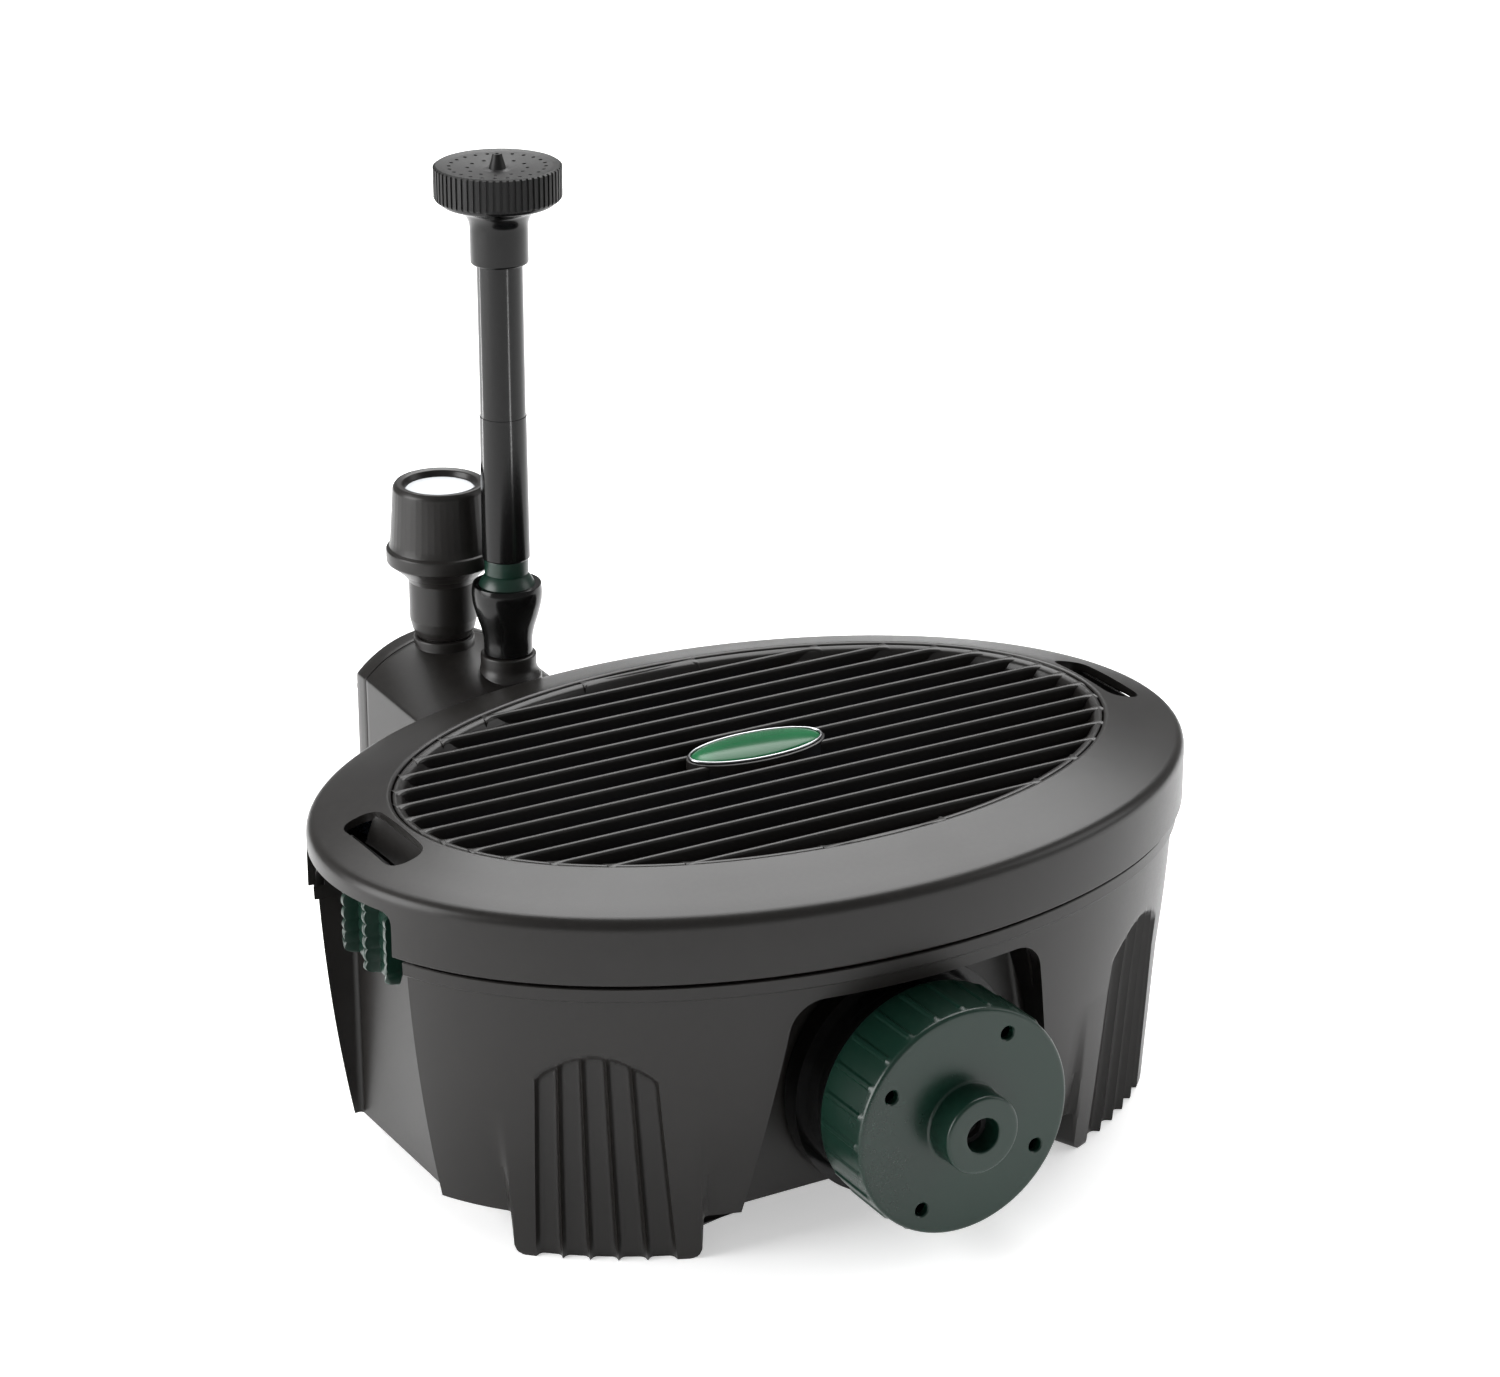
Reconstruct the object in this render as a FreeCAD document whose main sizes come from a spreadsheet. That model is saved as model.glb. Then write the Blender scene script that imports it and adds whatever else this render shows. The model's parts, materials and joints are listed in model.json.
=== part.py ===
import FreeCAD, Part

import math
import os
from types import SimpleNamespace

import Sketcher

from FreeCAD import Placement, Rotation, Vector

# In-pond filter box with a rear pump housing, fountain riser, spotlight and UV clarifier.
# Frame: millimetres, +Z up, ground at Z = 0, +X along the long axis of the oval tub,
# -Y towards the UV cap.  Every shape is drawn about the middle of the oval tub and
# then shifted by tub_y, which puts the origin at the middle of the footprint.

os.makedirs("parts", exist_ok=True)
doc = FreeCAD.newDocument("PondFilter")
sheet = doc.addObject("Spreadsheet::Sheet", "Sizes")

SIZES = {
    "frame": [
        ("tub_y", -18.2, "tub centre from the middle of the footprint"),
        ("fit", 0.3, "gap round a part that lifts out"),
        ("run", 0.08, "radial running clearance of a shaft or spigot"),
    ],
    "tub": [
        ("wall", 3.0, "moulded wall"),
        ("floor_z", 18.0, "underside of the tub"),
        ("waist_z", 75.0, "height of the middle section"),
        ("tub_top", 127.5, "top of the outer wall"),
        ("upstand_top", 148.0, "top of the upstand under the lid"),
        ("base_a", 184.0, "half length at the underside"),
        ("base_b", 127.5, "half width at the underside"),
        ("waist_a", 192.0, "half length at the middle section"),
        ("waist_b", 135.0, "half width at the middle section"),
        ("top_a", 196.0, "half length at the top"),
        ("top_b", 138.0, "half width at the top"),
        ("lip_drop", 6.0, "height of the lip at the top of the wall"),
        ("lip_out", 1.8, "how far the lip stands out"),
        ("notch_x", 170.0, "back wall of the end notch"),
        ("notch_half", 42.0, "half width of the end notch"),
        ("recess_y", -110.0, "floor of the front recess"),
        ("recess_top", 115.0, "top of the front recess"),
        ("recess_top_half", 58.0, "half width of the recess at its top"),
        ("recess_low_half", 78.0, "half width of the recess at the underside"),
        ("recess_round", 12.0, "corner radius of the recess"),
        ("foot_x", 124.5, "middle of a foot along X"),
        ("foot_y", 92.0, "middle of a foot along Y"),
        ("foot_wide", 80.0, "foot width along the wall"),
        ("foot_thick", 16.0, "foot depth"),
        ("foot_out", 2.0, "how far a foot stands proud of the tub"),
        ("foot_tall", 96.0, "height of the fluted panel"),
        ("flute_pitch", 11.2, "spacing of the flutes"),
        ("flute_r", 6.3, "radius of a flute"),
    ],
    "lid": [
        ("rim_a", 200.0, "half length of the lid"),
        ("rim_b", 141.5, "half width of the lid"),
        ("skirt_z", 129.5, "lower edge of the lid skirt"),
        ("rim_z", 156.5, "height of the rim edge"),
        ("crown_z", 166.0, "height of the grille edge"),
        ("grille_a", 164.0, "half length of the grille opening"),
        ("grille_b", 106.2, "half width of the grille opening"),
        ("grille_gap", 0.5, "gap round the grille insert"),
        ("ledge", 8.0, "width of the ledge the grille rests on"),
        ("slat_pitch", 13.85, "spacing of the grille slats"),
        ("slat_wide", 2.8, "slat thickness"),
        ("slat_tall", 8.0, "slat height"),
        ("slat_count", 16.0, "number of slats"),
        ("slot_x", 175.5, "middle of a finger slot"),
        ("slot_wide", 17.0, "finger slot width along X"),
        ("slot_half", 25.0, "half length of a finger slot"),
        ("cutout_half", 40.0, "half width of the cut-out in the skirt"),
        ("cutout_z", 148.5, "top of the cut-out in the skirt"),
        ("badge_a", 31.0, "half length of the badge"),
        ("badge_b", 13.0, "half width of the badge"),
        ("badge_tall", 3.4, "height of the badge dome"),
        ("clip_x", 180.5, "middle plane of a clip"),
        ("clip_thick", 5.0, "clip plate thickness"),
        ("clip_half", 20.5, "half width of a clip"),
        ("clip_low", 103.5, "lower edge of a clip"),
        ("clip_pin_z", 146.0, "height of the clip pivot"),
        ("clip_pin_r", 1.5, "clip pin radius"),
    ],
    "uv unit": [
        ("cap_z", 62.5, "height of the UV axis"),
        ("cap_r", 49.5, "cap radius"),
        ("cap_face", 167.0, "cap face in front of the tub centre"),
        ("cap_back", 136.0, "back edge of the cap skirt"),
        ("cap_wall", 2.5, "cap wall"),
        ("cap_rib_count", 24.0, "grip ribs round the skirt"),
        ("hub_r", 17.0, "cap hub radius"),
        ("hub_tall", 13.8, "cap hub height"),
        ("hub_bore", 7.5, "cable bore radius"),
        ("gland_r", 9.5, "radius of the cable gland's seat"),
        ("cap_hole_pcd", 80.0, "circle of the four spanner holes"),
        ("cap_hole_r", 3.0, "spanner hole radius"),
        ("neck_r", 46.5, "neck radius inside the cap"),
        ("neck_flange_r", 52.0, "neck flange radius"),
        ("neck_flange_face", 121.0, "front of the neck flange"),
        ("neck_face", 158.0, "front edge of the neck"),
        ("chamber_r", 28.0, "UV chamber tube radius"),
        ("chamber_end", 100.0, "closed end of the UV chamber"),
        ("sleeve_r", 15.0, "quartz sleeve radius"),
        ("sleeve_wall", 1.2, "quartz wall"),
        ("sleeve_end", 62.0, "closed end of the quartz sleeve"),
        ("lamp_tube_r", 6.0, "radius of each lamp tube"),
        ("lamp_gap", 7.0, "lamp tube offset from the axis"),
    ],
    "housing": [
        ("house_x", -52.0, "middle of the pump housing"),
        ("house_half", 38.3, "half width of the pump housing"),
        ("house_low", 22.0, "underside of the pump housing"),
        ("house_front", 118.0, "front of the housing, inside the tub wall"),
        ("seam_y", 197.0, "joint between the two housing shells"),
        ("house_back", 211.0, "back of the housing"),
        ("shoulder_z", 147.6, "top corner of the housing"),
        ("arch_z", 163.4, "top of the arch at the seam"),
        ("front_shoulder_z", 144.5, "top corner at the front"),
        ("front_arch_z", 149.0, "top of the arch at the front"),
        ("shell_wall", 2.5, "housing wall"),
    ],
    "riser": [
        ("riser_x", -37.5, "riser axis"),
        ("riser_y", 157.0, "riser axis"),
        ("collar_r", 12.6, "outlet collar radius"),
        ("collar_z", 164.5, "top of the outlet collar"),
        ("cup_low_r", 11.0, "swivel cup radius at its foot"),
        ("cup_rim_r", 16.0, "swivel cup radius at its rim"),
        ("cup_rim_z", 198.0, "height of the cup rim"),
        ("spigot_r", 9.0, "cup spigot radius in the collar"),
        ("ball_r", 13.4, "ball radius"),
        ("ball_z", 193.0, "centre of the ball"),
        ("ball_neck_r", 9.9, "ball neck radius"),
        ("tube_low", 210.0, "lower edge of the lower tube"),
        ("tube_split", 276.5, "top of the lower tube"),
        ("tube_low_r", 10.8, "lower tube radius at its foot"),
        ("tube_r", 10.4, "tube radius"),
        ("tube_bore", 8.4, "tube bore radius"),
        ("nozzle_neck_r", 12.9, "nozzle neck radius"),
        ("nozzle_low", 346.3, "lower edge of the nozzle neck"),
        ("nozzle_band_z", 375.3, "lower edge of the knurled band"),
        ("nozzle_top", 390.3, "top of the knurled band"),
        ("nozzle_r", 28.0, "nozzle disc radius"),
    ],
    "spotlight": [
        ("spot_x", -52.5, "spotlight axis"),
        ("spot_y", 192.0, "spotlight axis"),
        ("spot_seat_z", 164.5, "top of the spotlight seat"),
        ("spot_plug_r", 11.4, "plug radius in the seat"),
        ("stem_r", 15.4, "stem radius"),
        ("spot_flange_z", 200.5, "lower face of the flange"),
        ("spot_flange_top", 208.0, "upper face of the flange"),
        ("spot_flange_r", 25.2, "flange radius"),
        ("spot_head_r", 23.3, "head radius at its foot"),
        ("spot_top_r", 21.4, "head radius at its top"),
        ("spot_top", 238.0, "top of the head"),
        ("lens_r", 16.0, "lens radius"),
    ],
    "pump": [
        ("pump_y", 157.0, "middle plane of the volute"),
        ("volute_r", 25.0, "volute radius"),
        ("volute_wide", 22.0, "volute width"),
        ("impeller_r", 18.0, "impeller radius"),
        ("rotor_r", 9.0, "rotor magnet radius"),
        ("shaft_r", 1.5, "shaft radius"),
        ("pipe_r", 12.0, "suction pipe radius"),
        ("pipe_bore", 9.5, "suction pipe bore radius"),
        ("pipe_y", 78.0, "side port of the UV chamber"),
    ],
    "media": [
        ("tray_z", 95.0, "top of the media tray"),
        ("tray_thick", 3.0, "media tray thickness"),
        ("foam_split", 118.0, "joint between the two foams"),
        ("foam_top", 144.0, "top of the coarse foam"),
        ("foam_gap", 3.0, "gap between the foam and the wall"),
        ("bioball_r", 12.0, "radius of a bio ball"),
    ],
}


class Size:
    """A number together with the sheet expression that gives it."""

    def __init__(self, value, text):
        self.value = value
        self.text = text

    @staticmethod
    def of(thing):
        return thing if isinstance(thing, Size) else Size(float(thing), repr(float(thing)))

    def __add__(self, other):
        other = Size.of(other)
        return Size(self.value + other.value, f"({self.text} + {other.text})")

    def __sub__(self, other):
        other = Size.of(other)
        return Size(self.value - other.value, f"({self.text} - {other.text})")

    def __mul__(self, other):
        other = Size.of(other)
        return Size(self.value * other.value, f"({self.text} * {other.text})")

    def __truediv__(self, other):
        other = Size.of(other)
        return Size(self.value / other.value, f"({self.text} / {other.text})")

    def __neg__(self):
        return Size(-self.value, f"(0 - {self.text})")

    __radd__ = __add__
    __rmul__ = __mul__

    def __rsub__(self, other):
        return Size.of(other) - self


def fill_sheet():
    """Writes every size to its cell and returns them as Size values by alias."""
    found = {}
    row = 1
    for group, entries in SIZES.items():
        sheet.set(f"A{row}", group)
        row += 1
        for alias, value, note in entries:
            sheet.set(f"A{row}", alias)
            sheet.set(f"B{row}", str(value))
            sheet.setAlias(f"B{row}", alias)
            sheet.set(f"C{row}", note)
            found[alias] = Size(value, f"Sizes.{alias}")
            row += 1
    doc.recompute()
    return SimpleNamespace(**found)


s = fill_sheet()

# ------------------------------------------------------------------ drawing helpers

FACE_FRONT = Rotation(Vector(1, 0, 0), 90)      # local +Z points to -Y
FACE_BACK = Rotation(Vector(1, 0, 0), -90)      # local +Z points to +Y
FACE_RIGHT = Rotation(Vector(0, 1, 0), 90)      # local +Z points to +X
FACE_LEFT = Rotation(Vector(0, 1, 0), -90)      # local +Z points to -X
UPRIGHT = Rotation()

nodes = []
places = {}


def bind(thing, prop, size):
    """Drives one property of an object from the sheet."""
    thing.setExpression(prop, Size.of(size).text)


def place(thing, x, y, z, turn=UPRIGHT):
    """Puts an object at a place given by sizes, turned by a fixed rotation."""
    spot = [Size.of(v) for v in (x, y, z)]
    thing.Placement = Placement(Vector(*[v.value for v in spot]), turn)
    for axis, size in zip("xyz", spot):
        bind(thing, f"Placement.Base.{axis}", size)
    places[thing.Name] = spot
    return thing


def node(thing, label):
    """Makes an object a sub-part: its label names its file, and it takes the tub's shift."""
    thing.Label = label
    y = places.get(thing.Name, [None, Size.of(0.0), None])[1]
    bind(thing, "Placement.Base.y", y + s.tub_y)
    nodes.append(thing)
    return thing


def new_body(name):
    """An empty PartDesign body."""
    return doc.addObject("PartDesign::Body", name)


def origin_plane(body, role):
    """One of a body's own origin planes."""
    return next(f for f in body.Origin.OriginFeatures if f.Role == role)


def flat_sketch(body, role, lift):
    """An empty sketch on one of the body's origin planes, lifted along its normal."""
    lift = Size.of(lift)
    sketch = body.newObject("Sketcher::SketchObject", body.Name + "_sketch")
    sketch.AttachmentSupport = (origin_plane(body, role), [""])
    sketch.MapMode = "FlatFace"
    sketch.AttachmentOffset = Placement(Vector(0, 0, lift.value), UPRIGHT)
    bind(sketch, "AttachmentOffset.Base.z", lift)
    return sketch


def fix_point(sketch, edge, point, x, y):
    """Ties one point of an edge to its distances from the sketch origin."""
    for kind, size in (("DistanceX", x), ("DistanceY", y)):
        made = sketch.addConstraint(Sketcher.Constraint(kind, -1, 1, edge, point, size.value))
        sketch.setExpression(f"Constraints[{made}]", size.text)


def outline(body, role, points, lift=0.0):
    """A closed sketch with straight sides through points given as pairs of sizes."""
    sketch = flat_sketch(body, role, lift)
    corners = [(Size.of(x), Size.of(y)) for x, y in points]
    spots = [Vector(x.value, y.value, 0) for x, y in corners]
    for start, end in zip(spots, spots[1:] + spots[:1]):
        sketch.addGeometry(Part.LineSegment(start, end), False)
    for edge, (x, y) in enumerate(corners):
        after = (edge + 1) % len(corners)
        sketch.addConstraint(Sketcher.Constraint("Coincident", edge, 2, after, 1))
        fix_point(sketch, edge, 1, x, y)
    return sketch


def circle(body, role, x, y, radius, lift=0.0):
    """A sketch with one circle."""
    sketch = flat_sketch(body, role, lift)
    x, y, radius = Size.of(x), Size.of(y), Size.of(radius)
    centre = Vector(x.value, y.value, 0)
    sketch.addGeometry(Part.Circle(centre, Vector(0, 0, 1), radius.value), False)
    fix_point(sketch, 0, 3, x, y)
    made = sketch.addConstraint(Sketcher.Constraint("Radius", 0, radius.value))
    sketch.setExpression(f"Constraints[{made}]", radius.text)
    return sketch


def turned(name, profile):
    """A body made by revolving a profile of (radius, height) pairs about local Z."""
    body = new_body(name)
    sketch = outline(body, "XZ_Plane", profile)
    turn = body.newObject("PartDesign::Revolution", name + "_turn")
    turn.Profile = sketch
    turn.ReferenceAxis = (sketch, ["V_Axis"])
    turn.Angle = 360
    return body


def pad(body, sketch, length, both_ways=False):
    """Pads a sketch."""
    feature = body.newObject("PartDesign::Pad", body.Name + "_pad")
    feature.Profile = sketch
    feature.Midplane = both_ways
    bind(feature, "Length", length)
    return feature


def prism(name, role, points, length, lift=0.0, both_ways=False):
    """A body padded from a straight-sided outline."""
    body = new_body(name)
    pad(body, outline(body, role, points, lift), length, both_ways)
    return body


def drill_ring(body, radius, pcd, count, depth, lift, first_angle):
    """Pockets one round hole from a plane at a height and repeats it round local Z."""
    reach = Size.of(pcd) / 2
    angle = math.radians(first_angle)
    sketch = circle(body, "XY_Plane", reach * math.cos(angle), reach * math.sin(angle), radius, lift)
    hole = body.newObject("PartDesign::Pocket", body.Name + "_hole")
    hole.Profile = sketch
    bind(hole, "Length", depth)
    repeat(body, hole, count)
    return hole


def repeat(body, feature, count):
    """Repeats a feature evenly round local Z."""
    pattern = body.newObject("PartDesign::PolarPattern", body.Name + "_pattern")
    pattern.Originals = [feature]
    pattern.Axis = (next(f for f in body.Origin.OriginFeatures if f.Role == "Z_Axis"), [""])
    pattern.Angle = 360
    bind(pattern, "Occurrences", count)
    body.Tip = pattern
    return pattern


def round_edges(body, radius, pick):
    """Fillets the edges of a body's last feature that a test picks out."""
    doc.recompute()
    base = body.Tip
    picked = [f"Edge{i}" for i, edge in enumerate(base.Shape.Edges, 1) if pick(edge)]
    fillet = body.newObject("PartDesign::Fillet", body.Name + "_fillet")
    fillet.Base = (base, picked)
    bind(fillet, "Radius", radius)
    body.Tip = fillet
    return fillet


def cylinder(name, radius, height):
    """A round bar standing on its own origin."""
    bar = doc.addObject("Part::Cylinder", name)
    bind(bar, "Radius", radius)
    bind(bar, "Height", height)
    return bar


def cone(name, low_radius, top_radius, height):
    """A tapered bar standing on its own origin."""
    bar = doc.addObject("Part::Cone", name)
    bind(bar, "Radius1", low_radius)
    bind(bar, "Radius2", top_radius)
    bind(bar, "Height", height)
    return bar


def ball(name, radius):
    """A sphere about its own origin."""
    sphere = doc.addObject("Part::Sphere", name)
    bind(sphere, "Radius", radius)
    return sphere


def block(name, low, high):
    """A box between two corners given as triples of sizes."""
    low = [Size.of(v) for v in low]
    high = [Size.of(v) for v in high]
    box = doc.addObject("Part::Box", name)
    for prop, start, end in zip(("Length", "Width", "Height"), low, high):
        bind(box, prop, end - start)
    return place(box, *low)


def ring(name, outer, inner, height):
    """A round ring standing on its own origin."""
    return turned(name, [(inner, 0), (outer, 0), (outer, height), (inner, height)])


def oval_stack(name, sections, ruled=True):
    """A solid through level ellipses, each given as (half length, half width, height)."""
    levels = []
    for i, (half_x, half_y, z) in enumerate(sections):
        oval = doc.addObject("Part::Ellipse", f"{name}_level_{i}")
        bind(oval, "MajorRadius", half_x)
        bind(oval, "MinorRadius", half_y)
        levels.append(place(oval, 0, 0, z))
    stack = doc.addObject("Part::Loft", name)
    stack.Sections = levels
    stack.Solid = True
    stack.Ruled = ruled
    return stack


def cut(name, base, *tools):
    """What is left of one object outside the others."""
    tool = tools[0] if len(tools) == 1 else fuse(name + "_tools", *tools)
    result = doc.addObject("Part::Cut", name)
    result.Base = base
    result.Tool = tool
    return result


def fuse(name, *parts):
    """Several objects joined in one."""
    result = doc.addObject("Part::MultiFuse", name)
    result.Shapes = list(parts)
    return result


def common(name, *parts):
    """The space that several objects share."""
    result = doc.addObject("Part::MultiCommon", name)
    result.Shapes = list(parts)
    return result


def group(name, *parts):
    """Separate solids kept apart in one sub-part."""
    result = doc.addObject("Part::Compound", name)
    result.Links = list(parts)
    return result


# ------------------------------------------------------------------ tub

FAR = 260.0


def tub_body(name, inset, bottom, top):
    """The tapering oval of the tub, drawn in from the outer wall by an inset."""
    return oval_stack(name, [
        (s.base_a - inset, s.base_b - inset, bottom),
        (s.waist_a - inset, s.waist_b - inset, s.waist_z),
        (s.top_a - inset, s.top_b - inset, top),
    ], ruled=False)


def end_notches(name, grow):
    """Blocks that take out both end notches, grown by a wall for the inside."""
    sides = []
    for side, start, end in (("right", s.notch_x - grow, Size.of(FAR)),
                             ("left", Size.of(-FAR), grow - s.notch_x)):
        sides.append(block(f"{name}_{side}", (start, -s.notch_half - grow, -1.0),
                           (end, s.notch_half + grow, 170.0)))
    return sides


def front_recess(name, grow):
    """The flat-floored recess round the UV neck, grown by a wall for the inside."""
    low = s.recess_low_half + grow
    top = s.recess_top_half + grow
    body = prism(name, "XZ_Plane", [(-low, -1.0), (low, -1.0), (top, s.recess_top + grow),
                                    (-top, s.recess_top + grow)], 80.0)
    place(body, 0, s.recess_y + grow, 0)
    limit = s.recess_top.value - 5.0
    round_edges(body, s.recess_round + grow, lambda edge: edge.CenterOfMass.z > limit
                and edge.BoundBox.YLength > 60.0)
    return body


def foot(name, x_sign, y_sign):
    """One foot: a curved pad under the wall with round lower corners."""
    angle = math.degrees(math.atan2(s.foot_x.value * s.base_b.value ** 2,
                                    s.foot_y.value * s.base_a.value ** 2))
    turn = Rotation(Vector(0, 0, 1), -angle * x_sign * y_sign)
    half = s.foot_wide / 2
    lean = 0.10
    body = prism(name, "XZ_Plane", [(-half + 5, 0.0), (half - 5, 0.0), (half, 5.0),
                                    (half - s.foot_tall * lean, s.foot_tall),
                                    (s.foot_tall * lean - half, s.foot_tall), (-half, 5.0)],
                 60.0, both_ways=True)
    return place(body, s.foot_x * x_sign, s.foot_y * y_sign, 0, turn)


def flutes(name, x_sign, y_sign):
    """Five round channels down the face of a foot, fading out towards their tops."""
    angle = math.atan2(s.foot_x.value * s.base_b.value ** 2, s.foot_y.value * s.base_a.value ** 2)
    out = Vector(math.sin(angle) * x_sign, math.cos(angle) * y_sign, 0)
    along = Vector(-out.y, out.x, 0)
    rows = []
    for i in range(5):
        step = i - 2.0
        bar = cylinder(f"{name}_{i}", s.flute_r, 115.0)
        stand = s.flute_r - 0.25 * step ** 2
        lean = Rotation(along, 6.2)
        base_x = s.foot_x * x_sign + s.flute_pitch * (step * along.x) + stand * out.x
        base_y = s.foot_y * y_sign + s.flute_pitch * (step * along.y) + stand * out.y
        rows.append(place(bar, base_x, base_y, -2.0, lean))
    return rows


def build_tub():
    """The tub with its notches, recess, upstand, lip and four feet."""
    wall = tub_body("tub_outside", 0.0, s.floor_z, s.tub_top)
    lip = oval_stack("tub_lip", [
        (s.top_a + s.lip_out, s.top_b + s.lip_out, s.tub_top - s.lip_drop),
        (s.top_a + s.lip_out, s.top_b + s.lip_out, s.tub_top)])
    upstand = oval_stack("tub_upstand", [
        (s.top_a - 3.0, s.top_b - 3.0, s.tub_top - 20.0),
        (s.top_a - 3.0, s.top_b - 3.0, s.upstand_top)])
    foot_ring = cut("foot_ring", oval_stack("foot_outside", [
        (s.base_a + s.foot_out, s.base_b + s.foot_out, 0.0),
        (s.waist_a - 0.4, s.waist_b - 0.4, s.waist_z + 12.0)]), oval_stack("foot_inside", [
            (s.base_a - s.foot_thick, s.base_b - s.foot_thick, -1.0),
            (s.base_a - s.foot_thick, s.base_b - s.foot_thick, s.floor_z + 1.0),
            (s.waist_a - 4.0, s.waist_b - 4.0, s.waist_z + 14.0)]))
    feet = []
    channels = []
    for x_sign, y_sign in ((1, 1), (1, -1), (-1, 1), (-1, -1)):
        tag = f"{'right' if x_sign > 0 else 'left'}_{'rear' if y_sign > 0 else 'front'}"
        feet.append(foot(f"foot_{tag}", x_sign, y_sign))
        channels += flutes(f"flute_{tag}", x_sign, y_sign)
    pads = common("foot_pads", foot_ring, fuse("foot_blanks", *feet))
    solid = fuse("tub_solid", wall, lip, upstand, pads)
    cavity = fuse("tub_cavity", tub_body("tub_inside", s.wall, s.floor_z + s.wall, s.tub_top + 1),
                  oval_stack("upstand_inside", [
                      (s.top_a - 6.0, s.top_b - 6.0, s.tub_top - 10.0),
                      (s.top_a - 6.0, s.top_b - 6.0, s.upstand_top + 1.0)]))
    cavity = cut("tub_room", cavity, *end_notches("notch_inside", s.wall),
                 front_recess("recess_inside", s.wall))
    neck_hole = place(cylinder("neck_hole", s.chamber_r + s.fit, 20.0), 0, s.recess_y + 10.0,
                      s.cap_z, FACE_FRONT)
    pipe_hole = place(cylinder("pipe_hole", s.pipe_r + 2.0, 40.0), s.house_x, 110.0,
                      s.cap_z, FACE_BACK)
    shell = cut("tub_blank", solid, *end_notches("notch", Size.of(0.0)),
                front_recess("recess", Size.of(0.0)), cavity)
    return node(cut("tub_part", shell, neck_hole, pipe_hole, *channels), "tub_shell")


# ------------------------------------------------------------------ lid


def lid_skin(name, inset, bottom):
    """The outer form of the lid: an upright skirt, a rounded shoulder and a rising crown."""
    return oval_stack(name, [
        (s.rim_a - inset, s.rim_b - inset, bottom),
        (s.rim_a - inset, s.rim_b - inset, s.rim_z - 7.0 - inset),
        (s.rim_a - 1.7 - inset, s.rim_b - 1.7 - inset, s.rim_z - 2.2 - inset),
        (s.rim_a - 6.0 - inset, s.rim_b - 6.0 - inset, s.rim_z + 0.6 - inset),
        (s.grille_a + 2.0 - inset, s.grille_b + 2.0 - inset, s.crown_z - inset),
    ])


def finger_slot(name, side):
    """A round-ended slot right through the lid, above one clip."""
    half = s.slot_wide / 2
    body = prism(name, "XY_Plane", [(-half, -s.slot_half), (half, -s.slot_half),
                                    (half, s.slot_half), (-half, s.slot_half)], 40.0)
    place(body, s.slot_x * side, 0, s.rim_z - 20.0)
    round_edges(body, 7.0, lambda edge: edge.BoundBox.ZLength > 30.0)
    inner, outer = s.slot_x - half, s.slot_x + half
    high, low = s.rim_z + 30.0, s.rim_z - 30.0
    profile = [(inner - 0.5, high), (inner - 0.5, s.crown_z - 1.8), (inner + 1.3, s.crown_z - 3.0),
               (inner + 5.3, s.upstand_top + 2.5), (inner + 5.3, low), (outer + 1.0, low),
               (outer + 1.0, high)]
    if side < 0:
        profile = [(-x, z) for x, z in reversed(profile)]
    slope = prism(name + "_slope", "XZ_Plane", profile, s.slot_half * 2 + 4.0, both_ways=True)
    return common(name + "_form", body, slope)


def chute(name, side):
    """The wall on the inner side of a finger slot, leaning out as it goes down."""
    top_x = (s.slot_x - s.slot_wide / 2 - 1.5)
    low_x = (s.slot_x - s.slot_wide / 2 + 3.0)
    profile = [(top_x * side, s.crown_z - 2.5), ((top_x + 2.5) * side, s.crown_z - 3.5),
               ((low_x + 2.0) * side, s.upstand_top + 3.0), (low_x * side, s.upstand_top + 3.0)]
    if side < 0:
        profile.reverse()
    return prism(name, "XZ_Plane", profile, s.slot_half * 2 - 4.0, both_ways=True)


def pin_lugs():
    """The lugs under the lid that hold the ends of the clip pins."""
    lugs = []
    for side, tag in ((1, "right"), (-1, "left")):
        for i, y in enumerate((-s.slot_half - 5.0, s.slot_half + 1.5)):
            lug = block(f"lug_{tag}_{i}", (s.clip_x * side - 4.0, y, s.clip_pin_z - 4.0),
                        (s.clip_x * side + 4.0, y + 3.5, s.rim_z + 3.0))
            eye = place(cylinder(f"lug_eye_{tag}_{i}", s.clip_pin_r + 0.02, 6.0), s.clip_x * side,
                        y - 1.0, s.clip_pin_z, FACE_BACK)
            lugs.append(cut(f"lug_cut_{tag}_{i}", lug, eye))
    return lugs


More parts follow.
